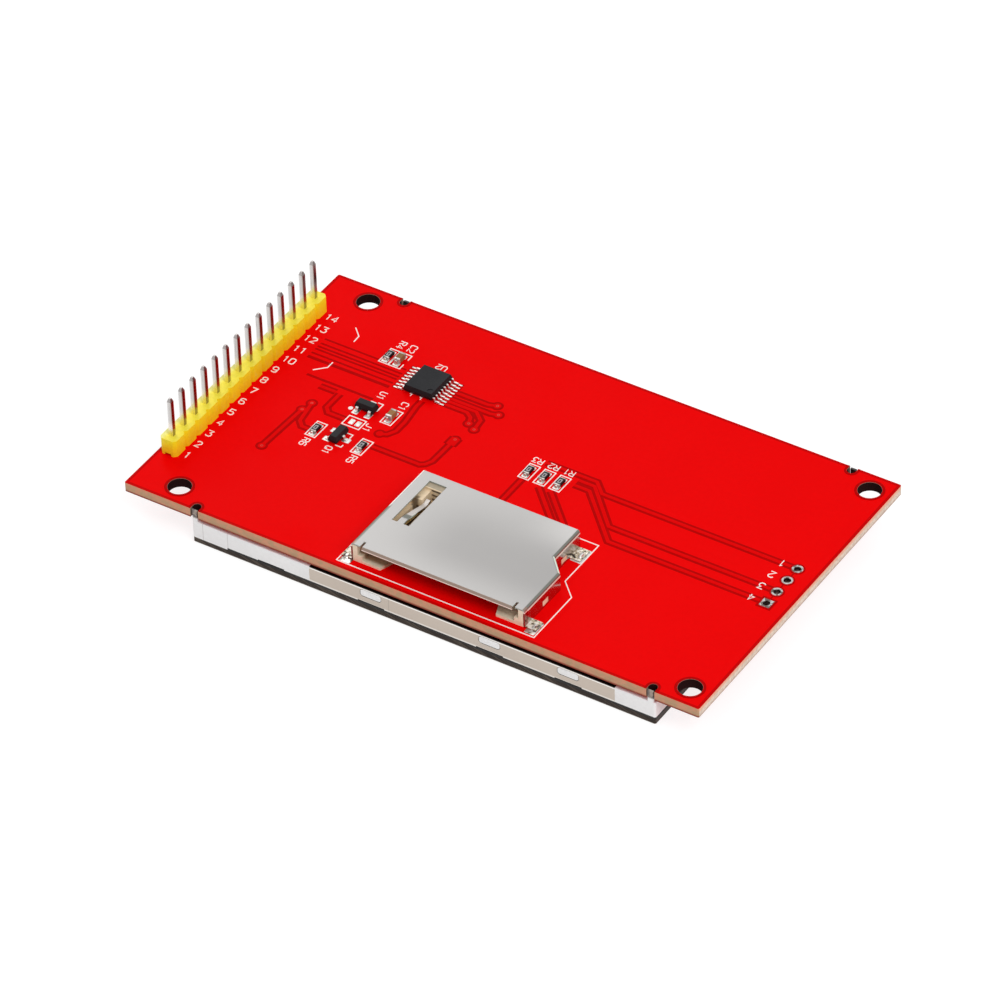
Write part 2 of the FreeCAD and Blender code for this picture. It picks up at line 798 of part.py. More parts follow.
def leds():
    """Lamps in a row beside the light guide's edge."""
    depth, length, height = led_size
    x1 = light_x0 - led_gap
    z1 = z_bezel_plate - led_flex_thickness
    lamps = []
    for i in range(led_count):
        y = (i - (led_count - 1) / 2) * led_pitch
        lamps.append(block(x1 - depth, x1, y - length / 2, y + length / 2, z1 - height, z1))
    return lamps


def led_flex():
    """Thin strip that carries the lamps, on the frame's back wall."""
    x1 = light_x0 - led_gap
    half = (led_count - 1) / 2 * led_pitch + led_size[1]
    return block(x1 - led_size[0], x1, -half, half, z_bezel_plate - led_flex_thickness, z_bezel_plate)


def mounting_tape(side):
    """Strip of double-sided foam tape between the steel cover and the board."""
    outer = display_y1 - tape_side
    y0, y1 = sorted((side * outer, side * (outer - tape_width)))
    return block(bezel_x0 + tape_inset, bezel_x1 - tape_inset, y0, y1, z_back, z_board)


def display_pieces():
    """Every layer of the display and touch panel, by name."""
    ledge_x1 = glass_x0 + ledge_length
    driver_x1 = glass_x0 + driver_from_edge
    driver_x0 = driver_x1 - driver_size[0]
    driver_y1 = driver_size[1] / 2
    flex_y1 = display_flex_width / 2
    touch_bond_x = display_x0 + touch_flex_bond
    return {
        "touch_film": touch_film(),
        "touch_glass": display_outline(z_touch_glass, z_gasket),
        "touch_gasket": touch_gasket(),
        "touch_flex": flexible_tail(touch_bond_x, z_touch_glass, touch_flex_run, *touch_flex_sides()),
        "front_polariser": light_sheet(z_frame - polariser_thickness, polariser_thickness,
                                       viewing_margin + polariser_inset),
        "filter_glass": block(ledge_x1, glass_x1, -glass_y1, glass_y1, z_frame, z_array_glass),
        "array_glass": block(glass_x0, glass_x1, -glass_y1, glass_y1, z_array_glass, z_rear_polariser),
        "driver_chip": block(driver_x0, driver_x1, -driver_y1, driver_y1,
                             z_array_glass - driver_size[2], z_array_glass),
        "display_flex": flexible_tail(glass_x0 + display_flex_bond, z_array_glass, display_flex_run,
                                      -flex_y1, flex_y1),
        "rear_polariser": light_sheet(z_rear_polariser, polariser_thickness, polariser_inset),
        "prism_sheet": light_sheet(z_prism, prism_thickness, 0),
        "diffuser_sheet": light_sheet(z_diffuser, diffuser_thickness, 0),
        "light_guide": light_sheet(z_guide, guide_thickness, 0),
        "reflector_sheet": light_sheet(z_reflector, reflector_thickness, 0),
        "led_flex": led_flex(),
        "backlight_frame": backlight_frame(),
        "steel_cover": steel_cover(),
    }


def board_pieces():
    """The board and every part on it, by name."""
    controller_body, controller_leads = controller()
    regulator_body, regulator_leads = three_lead_part(regulator_centre, 90)
    transistor_body, transistor_leads = three_lead_part(transistor_centre, 0)
    pieces = {
        "circuit_board": circuit_board(),
        "header_housing": header_housing(),
        "card_socket_shell": card_socket_shell(),
        "card_socket_base": card_socket_base(),
        "card_contacts": card_contacts(),
        "touch_controller": controller_body,
        "touch_controller_leads": controller_leads,
        "regulator": regulator_body,
        "regulator_leads": regulator_leads,
        "transistor": transistor_body,
        "transistor_leads": transistor_leads,
    }
    for i, place in enumerate(header_pin_places(), 1):
        pieces[f"header_pin_{i:02d}"] = header_pin(*place)
    for i, centre in enumerate(resistor_centres, 1):
        pieces[f"resistor_{i}"] = chip(centre, resistor_height)
    for i, centre in enumerate(capacitor_centres, 1):
        pieces[f"capacitor_{i}"] = chip(centre, capacitor_height)
    return pieces


def main():
    """Build every piece and write one file for each."""
    os.makedirs("parts", exist_ok=True)
    pieces = board_pieces()
    pieces.update(display_pieces())
    for i, lamp in enumerate(leds(), 1):
        pieces[f"led_{i}"] = lamp
    for i, side in enumerate((-1, 1), 1):
        pieces[f"mounting_tape_{i}"] = mounting_tape(side)
    for name, shape in pieces.items():
        shape.exportStep(f"parts/{name}.step")


main()
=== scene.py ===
import functools
import math

import bpy
import numpy as np
from bpy.props import FloatProperty, FloatVectorProperty, PointerProperty
from bpy.types import Operator, Panel, PropertyGroup
from mathutils import Matrix, Vector


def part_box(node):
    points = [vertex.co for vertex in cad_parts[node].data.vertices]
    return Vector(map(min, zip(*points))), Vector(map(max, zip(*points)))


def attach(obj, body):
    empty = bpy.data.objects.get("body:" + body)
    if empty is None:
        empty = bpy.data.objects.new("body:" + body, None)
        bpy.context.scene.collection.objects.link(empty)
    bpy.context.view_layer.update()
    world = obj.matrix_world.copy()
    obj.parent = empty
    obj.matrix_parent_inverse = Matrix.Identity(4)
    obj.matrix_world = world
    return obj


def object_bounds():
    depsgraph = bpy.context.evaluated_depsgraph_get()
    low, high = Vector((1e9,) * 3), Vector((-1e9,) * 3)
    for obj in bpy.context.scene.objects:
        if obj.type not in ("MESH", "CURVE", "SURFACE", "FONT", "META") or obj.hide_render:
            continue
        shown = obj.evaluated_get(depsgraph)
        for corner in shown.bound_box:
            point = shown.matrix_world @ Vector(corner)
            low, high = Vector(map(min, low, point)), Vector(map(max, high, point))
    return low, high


bl_info = {
    "name": "Display module",
    "version": (1, 0, 0),
    "blender": (4, 5, 0),
    "location": "3D View > Sidebar > Module",
    "description": "Dresses the packed display module: lacquer, tracks, markings, solder and studio",
    "category": "Object",
}

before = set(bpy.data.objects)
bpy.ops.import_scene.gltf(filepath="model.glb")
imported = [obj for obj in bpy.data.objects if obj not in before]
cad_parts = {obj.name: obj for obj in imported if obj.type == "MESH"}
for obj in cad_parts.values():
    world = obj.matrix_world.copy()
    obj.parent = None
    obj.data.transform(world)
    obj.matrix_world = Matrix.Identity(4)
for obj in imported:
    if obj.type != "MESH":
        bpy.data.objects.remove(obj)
CAD_LOW, CAD_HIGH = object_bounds()
BOARD_LOW, BOARD_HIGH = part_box("circuit_board")
MM = 0.001

# Places are written in millimetres from the board's near left corner, on its component side.
CORNER = np.array([BOARD_LOW.x, BOARD_LOW.y, BOARD_HIGH.z])
THICK = (BOARD_HIGH.z - BOARD_LOW.z) / MM
LENGTH = (BOARD_HIGH.x - BOARD_LOW.x) / MM
WIDTH = (BOARD_HIGH.y - BOARD_LOW.y) / MM

# The connector's pins and the spare row start at these places and run along the board's width.
PITCH = 2.54
PIN_X, PIN_Y = 1.76, 8.64
PIN_COUNT = 14
SPARE_X, SPARE_Y = 82.95, 21.43
SPARE_COUNT = 4
MOUNT_RADIUS = 1.6
MOUNTS = [(x, y) for x in (6.6, LENGTH - 3.0) for y in (2.95, WIDTH - 2.95)]
NOTCH_RADIUS, NOTCH_MIDDLE = 0.6, 0.7
NOTCHES = [(x, edge, way) for x in (10.8, 79.0) for edge, way in ((0, 1), (WIDTH, -1))]

# A via's copper and the bare ring round it, its bright ring, and the wide end of one track.
VIA_RADIUS, VIA_CLEAR = 0.5, 0.82
VIA_HOLE, VIA_RING = 0.12, 0.2
WIDE_TRACK, WIDE_GAP = 1.25, 1.9
# The touch controller's leads, the plated holes and the numbers' places along the board.
LEAD_PITCH, LEADS_A_SIDE = 0.65, 8
LEAD_LAND, LEAD_LAND_HALF = 1.45, 0.13
PLATED_RING, PLATED_BORE = 0.75, 0.46
NUMBER_X, SECOND_DIGIT_SHIFT, SPARE_NUMBER_X = 3.9, 0.49, 80.7

# Heights of what lies on the lacquer, so that no two faces meet.
GAP_TOP = 0.004
LAYER = 0.0008
TRACK_TOP = 0.036
INK_TOP = 0.05
LAND_TOP = 0.055
SUNK = -0.02

# The cone of solder at a pin's tail: its radius at the tip and at the board.
PIN_CONE = (0.36, 0.92)
# A strip's sides lean in by this share of its height.
STRIP_SLOPE = 0.25
# Edges that turn more than this stay sharp.
SHARP_ANGLE = math.radians(45)
# The lacquer mirrors hardly anything in soft light.
LACQUER_SHINE = 0.014
LACQUER_GRAIN = 1500.0
# Half the side of the floor, in metres.
FLOOR_HALF = 3.0


def in_board(node):
    """A CAD node's lowest and highest corner in millimetres from the board's corner."""
    low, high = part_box(node)
    return (np.array(low) - CORNER) / MM, (np.array(high) - CORNER) / MM


# Surfaces


class Form:
    """One closed surface: points in millimetres, and arrays of faces with equal corner counts."""

    def __init__(self, points, *faces):
        self.points = np.asarray(points, float)
        self.faces = [np.asarray(f, int) for f in faces if len(f)]


def carried(path, profile, closed=False):
    """A profile carried along a flat path.

    At each point of the path the profile's across distance runs along the mitre line, which is
    the sum of the two runs' left normals over one plus their dot product, and its height runs
    up. The profile goes from right bottom over the top to left bottom.
    """
    path = np.asarray(path, float)
    profile = np.asarray(profile, float)
    runs = np.diff(np.vstack([path, path[:1]]) if closed else path, axis=0)
    runs /= np.linalg.norm(runs, axis=1)[:, None]
    left = np.stack([-runs[:, 1], runs[:, 0]], 1)
    before = np.roll(left, 1, 0) if closed else np.vstack([left[:1], left])
    after = left if closed else np.vstack([left, left[-1:]])
    dots = (before * after).sum(1)[:, None]
    mitre = (before + after) / np.maximum(1 + dots, 0.6)
    n, k = len(path), len(profile)
    flat = path[:, None, :] + profile[None, :, :1] * mitre[:, None, :]
    height = np.broadcast_to(profile[None, :, 1:], (n, k, 1))
    points = np.concatenate([flat, height], 2).reshape(-1, 3)
    i = np.arange(n if closed else n - 1)[:, None]
    j = np.arange(k)[None, :]
    i2, j2 = (i + 1) % n, (j + 1) % k
    sides = np.stack([i * k + j, i2 * k + j, i2 * k + j2, i * k + j2], 2).reshape(-1, 4)
    ends = [] if closed else [np.arange(k), (n - 1) * k + np.arange(k)[::-1]]
    return Form(points, sides, ends)


def strip(path, width, top, closed=False):
    """A flat strip with sloped sides: a trapezoid carried along the path."""
    half = width / 2
    inner = half - min(STRIP_SLOPE * (top - SUNK), half * 0.5)
    return carried(path, [(-half, SUNK), (-inner, top), (inner, top), (half, SUNK)], closed)


def turned(x, y, profile, stretch=(1, 1), power=2.0, count=24, ring=False):
    """A profile of radius and height turned round an upright axis.

    The radius is multiplied by a superellipse of the angle: the signed powers 2/power of its
    cosine and sine, times stretch. A profile point of radius 0 is one pole. The profile goes
    from bottom outside inwards over the top. With ring it closes on itself.
    """
    profile = np.asarray(profile, float)
    angle = np.arange(count) * 2 * np.pi / count
    circle = np.stack([np.cos(angle), np.sin(angle)], 1)
    edge = np.sign(circle) * np.abs(circle) ** (2 / power) * stretch
    pole_first, pole_last = profile[0, 0] == 0, profile[-1, 0] == 0
    rows = profile[int(pole_first):len(profile) - int(pole_last)]
    k = len(rows)
    flat = np.array([x, y]) + rows[:, None, :1] * edge[None]
    height = np.broadcast_to(rows[:, None, 1:], (k, count, 1))
    points = np.concatenate([flat, height], 2).reshape(-1, 3)
    i = np.arange(count)[None, :]
    i2 = (i + 1) % count
    j = np.arange(k if ring else k - 1)[:, None]
    j2 = (j + 1) % k
    bands = np.stack([j * count + i, j * count + i2, j2 * count + i2, j2 * count + i], 2).reshape(-1, 4)
    tips, caps = [], []
    first, last = i[0], (k - 1) * count + i[0]
    if pole_first:
        points = np.vstack([points, [x, y, profile[0, 1]]])
        tips.append(np.stack([np.full(count, len(points) - 1), i2[0], i[0]], 1))
    elif not ring:
        caps.append(first[::-1])
    if pole_last:
        points = np.vstack([points, [x, y, profile[-1, 1]]])
        tips.append(np.stack([last, (k - 1) * count + i2[0], np.full(count, len(points) - 1)], 1))
    elif not ring:
        caps.append(last)
    return Form(points, bands, np.vstack(tips) if tips else [], caps)


def ring_of(x, y, inner, outer, top, low=SUNK, count=32):
    """A flat ring: a four sided profile turned round and closed on itself."""
    return turned(x, y, [(outer, low), (outer, top), (inner, top), (inner, low)], count=count, ring=True)


def land(x0, y0, x1, y1, power=9.0, count=28):
    """A solder land: a nearly square superellipse with a slightly domed top."""
    rise = LAND_TOP - SUNK
    profile = [(1, SUNK), (1, SUNK + 0.6 * rise), (0.96, SUNK + 0.85 * rise),
               (0.8, LAND_TOP), (0, LAND_TOP + 0.01)]
    return turned((x0 + x1) / 2, (y0 + y1) / 2, profile, ((x1 - x0) / 2, (y1 - y0) / 2), power, count)


def land_at(x, y, half_x, half_y):
    """A solder land given by its middle."""
    return land(x - half_x, y - half_y, x + half_x, y + half_y)


def fillet(x, y, half_x, half_y, height, power=3.0, count=20):
    """A solder fillet: it rises from a wide foot in a hollow curve to a small round head.

    As the radius shrinks evenly, the height grows with the power 2.2 of the way inwards.
    """
    t = np.linspace(0, 1, 6)
    radius = 1 - 0.62 * t
    up = height * t ** 2.2
    profile = np.vstack([[(1, SUNK)], np.stack([radius, up], 1), [(0.2, height * 1.04), (0, height * 1.06)]])
    return turned(x, y, profile, (half_x, half_y), power, count)


def box_path(x0, y0, x1, y1):
    """The four corners of a rectangle, anticlockwise."""
    return [(x0, y0), (x1, y0), (x1, y1), (x0, y1)]


def new_piece(name, forms, material):
    """Joins forms into one mesh object that rides on the module."""
    starts = np.cumsum([0] + [len(f.points) for f in forms[:-1]])
    points = CORNER + np.concatenate([f.points for f in forms]) * MM
    faces = [row for f, s in zip(forms, starts) for a in f.faces for row in (a + s).tolist()]
    mesh = bpy.data.meshes.new(name)
    mesh.from_pydata(points.tolist(), [], faces)
    mesh.materials.append(material)
    mesh.shade_smooth()
    mesh.set_sharp_from_angle(angle=SHARP_ANGLE)
    mesh.update()
    piece = bpy.data.objects.new(name, mesh)
    bpy.context.scene.collection.objects.link(piece)
    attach(piece, "root")
    return piece


# Markings

STROKES = {
    "0": [[(1, 0), (3, 0), (4, 1), (4, 5), (3, 6), (1, 6), (0, 5), (0, 1), (1, 0)]],
    "1": [[(0.9, 4.9), (2.2, 6), (2.2, 0)]],
    "2": [[(0, 5), (1, 6), (3, 6), (4, 5), (4, 3.9), (0, 0), (4, 0)]],
    "3": [[(0, 6), (4, 6), (2, 3.6), (3, 3.6), (4, 2.7), (4, 1), (3, 0), (1, 0), (0, 0.9)]],
    "4": [[(3, 0), (3, 6), (0, 1.8), (4, 1.8)]],
    "5": [[(4, 6), (0.4, 6), (0.2, 3.4), (3, 3.5), (4, 2.6), (4, 1), (3, 0), (1, 0), (0, 0.8)]],
    "6": [[(3.7, 5.3), (3, 6), (1, 6), (0, 5), (0, 1), (1, 0), (3, 0), (4, 1), (4, 2.4), (3, 3.4), (1, 3.4),
           (0, 2.6)]],
    "7": [[(0, 6), (4, 6), (1.5, 0)]],
    "8": [[(1, 3.2), (0.1, 4.1), (0.1, 5.2), (1, 6), (3, 6), (3.9, 5.2), (3.9, 4.1), (3, 3.2), (1, 3.2)],
          [(1, 3.2), (0, 2.3), (0, 0.9), (1, 0), (3, 0), (4, 0.9), (4, 2.3), (3, 3.2)]],
    "9": [[(0.3, 0.7), (1, 0), (3, 0), (4, 1), (4, 5), (3, 6), (1, 6), (0, 5), (0, 3.6), (1, 2.6), (3, 2.6),
           (4, 3.4)]],
    "R": [[(0, 0), (0, 6), (3, 6), (4, 5.1), (4, 3.9), (3, 3), (0, 3)], [(2, 3), (4, 0)]],
    "C": [[(4, 1), (3, 0), (1, 0), (0, 1), (0, 5), (1, 6), (3, 6), (4, 5)]],
    "U": [[(0, 6), (0, 1), (1, 0), (3, 0), (4, 1), (4, 6)]],
    "Q": [[(1, 0), (3, 0), (4, 1), (4, 5), (3, 6), (1, 6), (0, 5), (0, 1), (1, 0)], [(2.4, 1.7), (4, 0)]],
    "J": [[(3.4, 6), (3.4, 1), (2.5, 0), (1, 0), (0, 1)]],
}


def written(text, x, y, height, stroke, turn=0, pace=5.6):
    """Stroke letters centred on x, y. Each stroke is a strip whose path is turned by quarter turns."""
    scale = height / 6
    step = pace * scale
    start = -(len(text) * step - 1.6 * scale) / 2
    a = math.radians(turn)
    spin = np.array([[math.cos(a), math.sin(a)], [-math.sin(a), math.cos(a)]])
    forms = []
    for place, letter in enumerate(text):
        for line in STROKES[letter]:
            flat = np.array(line, float) * scale + (start + place * step, -height / 2)
            forms.append(strip(flat @ spin + (x, y), stroke, INK_TOP))
    return forms


# Shader building


class Nodes:
    """Adds nodes to a tree. A call makes one node, wires the sockets it is given and returns an output."""

    def __init__(self, tree):
        self.tree = tree

    def __call__(self, kind, inputs=None, out=0, **settings):
        node = self.tree.nodes.new(kind)
        for key, value in settings.items():
            setattr(node, key, value)
        for key, value in (inputs or {}).items():
            self.wire(node.inputs[key], value)
        return node.outputs[out]

    def wire(self, socket, value):
        """Links an output to a socket, or sets the socket. A colour of three numbers is made opaque."""
        if isinstance(value, bpy.types.NodeSocket):
            self.tree.links.new(value, socket)
        else:
            socket.default_value = (*value, 1.0) if socket.type == "RGBA" else value

    def parts(self, vector):
        """The three numbers of a vector."""
        return tuple(self("ShaderNodeSeparateXYZ", {0: vector}).node.outputs)

    def math(self, operation, a, b=0.0, c=0.0):
        """One step of arithmetic."""
        return self("ShaderNodeMath", {0: a, 1: b, 2: c}, operation=operation)

    def plus(self, a, b):
        """The sum of two numbers."""
        return self.math("ADD", a, b)

    def minus(self, a, b):
        """What is left of a number."""
        return self.math("SUBTRACT", a, b)

    def times(self, *values):
        """The product of several numbers: masks that have to meet."""
        return functools.reduce(lambda a, b: self.math("MULTIPLY", a, b), values)

    def most(self, *values):
        """The greatest of several numbers: any of these masks."""
        return functools.reduce(lambda a, b: self.math("MAXIMUM", a, b), values)

    def mix(self, factor, a, b, amount=None):
        """A colour between a and b, with no more of b than the amount where one is given."""
        if amount is not None:
            factor = self.times(factor, amount)
        return self("ShaderNodeMix", {0: factor, 6: a, 7: b}, out=2, data_type="RGBA")

    def between(self, factor, a, b):
        """A number between a and b as factor goes from 0 to 1."""
        return self("ShaderNodeMapRange", {"Value": factor, "To Min": a, "To Max": b})

    def step(self, value, start, end):
        """0 at the start, 1 at the end, flat outside them and smooth between. The start may be higher."""
        return self("ShaderNodeMapRange", {"Value": value, "From Min": start, "From Max": end},
                    interpolation_type="SMOOTHSTEP")

    def inside(self, value, centre, half, soft):
        """1 where value is within half of centre."""
        return self.step(self.math("ABSOLUTE", self.minus(value, centre)), half + soft, half - soft)

    def window(self, x, y, centre, half, soft):
        """1 inside a rectangle."""
        return self.times(self.inside(x, centre[0], half[0], soft), self.inside(y, centre[1], half[1], soft))

    def noise(self, vector, scale, detail=2.0, roughness=0.5):
        """Soft noise round 0.5."""
        return self("ShaderNodeTexNoise",
                    {"Vector": vector, "Scale": scale, "Detail": detail, "Roughness": roughness})

    def stretch(self, vector, scale):
        """A place times one number for each axis."""
        return self("ShaderNodeMapping", {"Vector": vector, "Scale": scale}, vector_type="POINT")

    def grouped(self, tree, **inputs):
        """The outputs of one of the shared groups, with its own values."""
        return self("ShaderNodeGroup", inputs, node_tree=tree).node.outputs


def new_group(name, inputs, outputs):
    """An empty shader group with named sockets, its node adder, its inputs and its output node."""
    tree = bpy.data.node_groups.new(name, "ShaderNodeTree")
    for label, kind, value in inputs:
        socket = tree.interface.new_socket(label, in_out="INPUT", socket_type=kind)
        if value is not None:
            socket.default_value = value
    for label, kind in outputs:
        tree.interface.new_socket(label, in_out="OUTPUT", socket_type=kind)
    given = tree.nodes.new("NodeGroupInput").outputs
    return tree, Nodes(tree), given, tree.nodes.new("NodeGroupOutput").inputs


@functools.cache
def fine_grain():
    """Fine grain: two sizes of noise give a height and a mottled colour."""
    tree, n, given, out = new_group(
        "fine grain",
        [("Place", "NodeSocketVector", None), ("Scale", "NodeSocketFloat", 3000.0),
         ("Colour", "NodeSocketColor", (0.8, 0.8, 0.8, 1)), ("Shade", "NodeSocketFloat", 0.9)],
        [("Colour", "NodeSocketColor"), ("Height", "NodeSocketFloat")],
    )
    fine = n.noise(given["Place"], given["Scale"], 3.0)
    broad = n.noise(given["Place"], n.times(given["Scale"], 0.06))
    mask = n.step(n.plus(n.times(fine, 0.5), n.times(broad, 0.5)), 0.35, 0.65)
    dark = n("ShaderNodeVectorMath", {0: given["Colour"], "Scale": given["Shade"]}, operation="SCALE")
    n.wire(out["Colour"], n.mix(mask, dark, given["Colour"]))
    n.wire(out["Height"], fine)
    return tree


@functools.cache
def handling_marks():
    """Handling marks: broad smudges as a mask."""
    tree, n, given, out = new_group(
        "handling marks",
        [("Place", "NodeSocketVector", None), ("Amount", "NodeSocketFloat", 0.5)],
        [("Mask", "NodeSocketFloat")],
    )
    smudge = n.step(n.noise(given["Place"], 130.0, 4.0, 0.6), 0.42, 0.72)
    n.wire(out["Mask"], n.times(smudge, given["Amount"]))
    return tree


@functools.cache
def rolled_metal():
    """Rolled metal: noise drawn out along X gives fine lines, and broad noise gives a cloud."""
    tree, n, given, out = new_group(
        "rolled metal",
        [("Place", "NodeSocketVector", None)],
        [("Lines", "NodeSocketFloat"), ("Cloud", "NodeSocketFloat")],
    )
    n.wire(out["Lines"], n.noise(n.stretch(given["Place"], (150.0, 6000.0, 6000.0)), 1.0))
    n.wire(out["Cloud"], n.noise(given["Place"], 60.0))
    return tree


class Finish(Nodes):
    """A material in the making: a Principled shader whose constants are set, and the nodes that feed it."""

    def __init__(self, name, **constants):
        self.material = bpy.data.materials.new(name)
        self.material.use_nodes = True
        super().__init__(self.material.node_tree)
        self.tree.nodes.clear()
        self.shader = self.tree.nodes.new("ShaderNodeBsdfPrincipled")
        self.wire(self.tree.nodes.new("ShaderNodeOutputMaterial").inputs[0], self.shader.outputs[0])
        self.set(**constants)
        self.place = self("ShaderNodeTexCoord", out="Object")

    def set(self, **values):
        """Sets or links the shader's sockets. A _ stands for the space in a socket's name."""
        for key, value in values.items():
            self.wire(self.shader.inputs[key.replace("_", " ")], value)

    def spot(self):
        """How far a point lies from the board's corner in millimetres: along, across and up."""
        away = self("ShaderNodeVectorMath", {0: self.place, 1: tuple(CORNER)}, operation="SUBTRACT")
        return self.parts(self("ShaderNodeVectorMath", {0: away, "Scale": 1 / MM}, operation="SCALE"))

    def tilt(self):
        """The three numbers of a face's normal."""
        return self.parts(self("ShaderNodeNewGeometry", out="True Normal"))

    def grain(self, scale, colour, shade):
        """The fine grain's colour and height."""
        outputs = self.grouped(fine_grain(), Place=self.place, Scale=scale, Colour=colour, Shade=shade)
        return outputs["Colour"], outputs["Height"]

    def smudges(self, amount=1.0):
        """The handling marks' mask."""
        return self.grouped(handling_marks(), Place=self.place, Amount=amount)["Mask"]

    def rolled(self):
        """The rolled metal's lines and cloud."""
        outputs = self.grouped(rolled_metal(), Place=self.place)
        return outputs["Lines"], outputs["Cloud"]

    def done(self, height=None, depth=0.0, **values):
        """Sets what changes over the surface, with a bump of that depth in millimetres."""
        if height is not None:
            values["Normal"] = self("ShaderNodeBump", {"Height": height, "Distance": depth * MM})
        self.set(**values)
        return self.material


def shaded(colour, factor):
    """A colour times one number, or times one number each for red, green and blue."""
    return tuple(np.multiply(tuple(colour), factor))


def plain_finish(name, colour, roughness, grain=3000.0, shade=0.9, depth=0.004, spread=0.08, **constants):
    """A finish with fine grain: mottled colour, smudged roughness and a shallow bump."""
    n = Finish(name, **constants)
    tone, height = n.grain(grain, colour, shade)
    gloss = n.between(n.smudges(), roughness - spread / 2, roughness + spread)
    return n.done(height, depth, Base_Color=tone, Roughness=gloss)


def dress(material, *nodes):
    """Gives CAD nodes a material."""
    for name in nodes:
        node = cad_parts[name]
        if node.material_slots:
            node.material_slots[0].material = material
        else:
            node.data.materials.append(material)


# Settings


def colour_of(default, label):
    """A colour that a user can change."""
    return FloatVectorProperty(name=label, description=label + " as a linear colour", subtype="COLOR",
                               default=default, min=0.0, max=1.0)


def length_of(default_mm, label):
    """A length that a user can change, with its default in millimetres."""
    return FloatProperty(name=label, description=label, default=default_mm * MM, min=0.0, unit="LENGTH",
                         precision=6)


class BoardSettings(PropertyGroup):
    """Colours and widths of the board, its tracks and its print."""
    lacquer: colour_of((0.86, 0.0004, 0.0009), "Lacquer")
    track: colour_of((0.77, 0.0006, 0.001), "Lacquer over tracks")
    gap: colour_of((0.47, 0.0004, 0.0006), "Lacquer between copper")
    via: colour_of((0.86, 0.10, 0.08), "Ring of a covered via")
    laminate: colour_of((0.59, 0.325, 0.20), "Cut laminate")
    # painted shade: the near black of the walls in the holes and notches
    hole: colour_of((0.024, 0.008, 0.008), "Drilled hole wall")
    rim: colour_of((0.42, 0.20, 0.15), "Rim of a drilled hole")
    ink: colour_of((1.0, 0.93, 0.89), "Marking ink")
    track_width: length_of(0.50, "Width of a track")
    gap_width: length_of(1.20, "Width between the copper on both sides of a track")
    ink_width: length_of(0.165, "Width of a marking line")
    number_height: length_of(1.1, "Height of the numbers")
    number_stroke: length_of(0.165, "Stroke of the numbers")
    letter_height: length_of(0.95, "Height of the parts' letters")
    letter_stroke: length_of(0.14, "Stroke of the parts' letters")


class PartSettings(PropertyGroup):
    """Colours of what is soldered to the board."""
    # painted light: the housing's top is lighter than its sides
    housing: colour_of((0.99, 0.83, 0.055), "Top of the connector housing")
    housing_side: colour_of((0.95, 0.80, 0.012), "Sides of the connector housing")
    pin: colour_of((0.60, 0.58, 0.57), "Connector pin")
    # painted reflection: the red board's colour on a pin's right side
    pin_dull: colour_of((0.14, 0.105, 0.10), "Dulled side of a pin")
    package: colour_of((0.0065, 0.0068, 0.009), "Moulded package")
    resistor: colour_of((0.006, 0.0065, 0.008), "Resistor glaze")
    ceramic: colour_of((0.46, 0.45, 0.46), "Mark on a resistor")
    cap: colour_of((0.62, 0.60, 0.56), "Resistor end cap")
    capacitor: colour_of((0.34, 0.17, 0.068), "Capacitor body")
    solder: colour_of((0.72, 0.71, 0.68), "Solder")
    flux: colour_of((0.10, 0.055, 0.03), "Flux")
    shell: colour_of((0.352, 0.343, 0.336), "Card socket shell")
    # painted light on the socket's steel: the walls are lighter than the top, the bends are darkened by
    # painted reflection and the fold is a painted highlight
    wall: colour_of((0.52, 0.47, 0.45), "Card socket wall")
    bend: colour_of((0.20, 0.205, 0.18), "Dulled bend")
    fold: colour_of((0.76, 0.88, 0.76), "Bright fold line")
    base: colour_of((0.93, 0.81, 0.61), "Card socket base")
    # painted shade: the colour a little way inside the card socket's mouth
    base_deep: colour_of((0.40, 0.21, 0.10), "Card socket base in its mouth")
    base_inner: colour_of((0.86, 0.68, 0.46), "Card socket base below the window")
    contact: colour_of((0.83, 0.66, 0.32), "Contact spring")


class DisplaySettings(PropertyGroup):
    """Colours of the display, and the size of its picture."""
    frame_white: colour_of((0.91, 0.90, 0.90), "Moulded frame")
    cover: colour_of((0.56, 0.485, 0.42), "Steel cover")
    # painted highlight and painted shade: the cover's bright edge lines and its near black back
    cover_line: colour_of((0.92, 0.90, 0.87), "Bright edge of the cover")
    cover_back: colour_of((0.012, 0.009, 0.008), "Back of the cover")
    gasket: colour_of((0.02, 0.018, 0.018), "Foam gasket")
    border: colour_of((0.012, 0.012, 0.013), "Border ink")
    screen: colour_of((0.045, 0.05, 0.052), "Dark screen")
    glass: colour_of((0.030, 0.020, 0.015), "Glass edge")
    film_edge: colour_of((0.22, 0.17, 0.13), "Film edge")
    tape: colour_of((0.75, 0.75, 0.72), "Foam tape")
    screen_long: length_of(57.6, "Length of the picture")
    screen_short: length_of(43.2, "Height of the picture")


class StudioSettings(PropertyGroup):
    """Floor, light and camera."""
    floor: colour_of((0.90, 0.90, 0.90), "Floor")
    dome: FloatProperty(name="Dome", description="Brightness of the surroundings", default=0.62, min=0)
    key: FloatProperty(name="Key lamp", description="Power of the key lamp", default=6.0, min=0,
                       unit="POWER")
    fill: FloatProperty(name="Fill lamp", description="Power of the fill lamp", default=2.5, min=0,
                        unit="POWER")
    lens: FloatProperty(name="Lens", description="Focal length in millimetres", default=257.8, min=1)
    roll: FloatProperty(name="Roll", description="Turn of the camera about its view line",
                        default=math.radians(2.054), subtype="ANGLE")


SETTINGS = {
    "module_board": BoardSettings,
    "module_parts": PartSettings,
    "module_display": DisplaySettings,
    "module_studio": StudioSettings,
}


# Circuit board


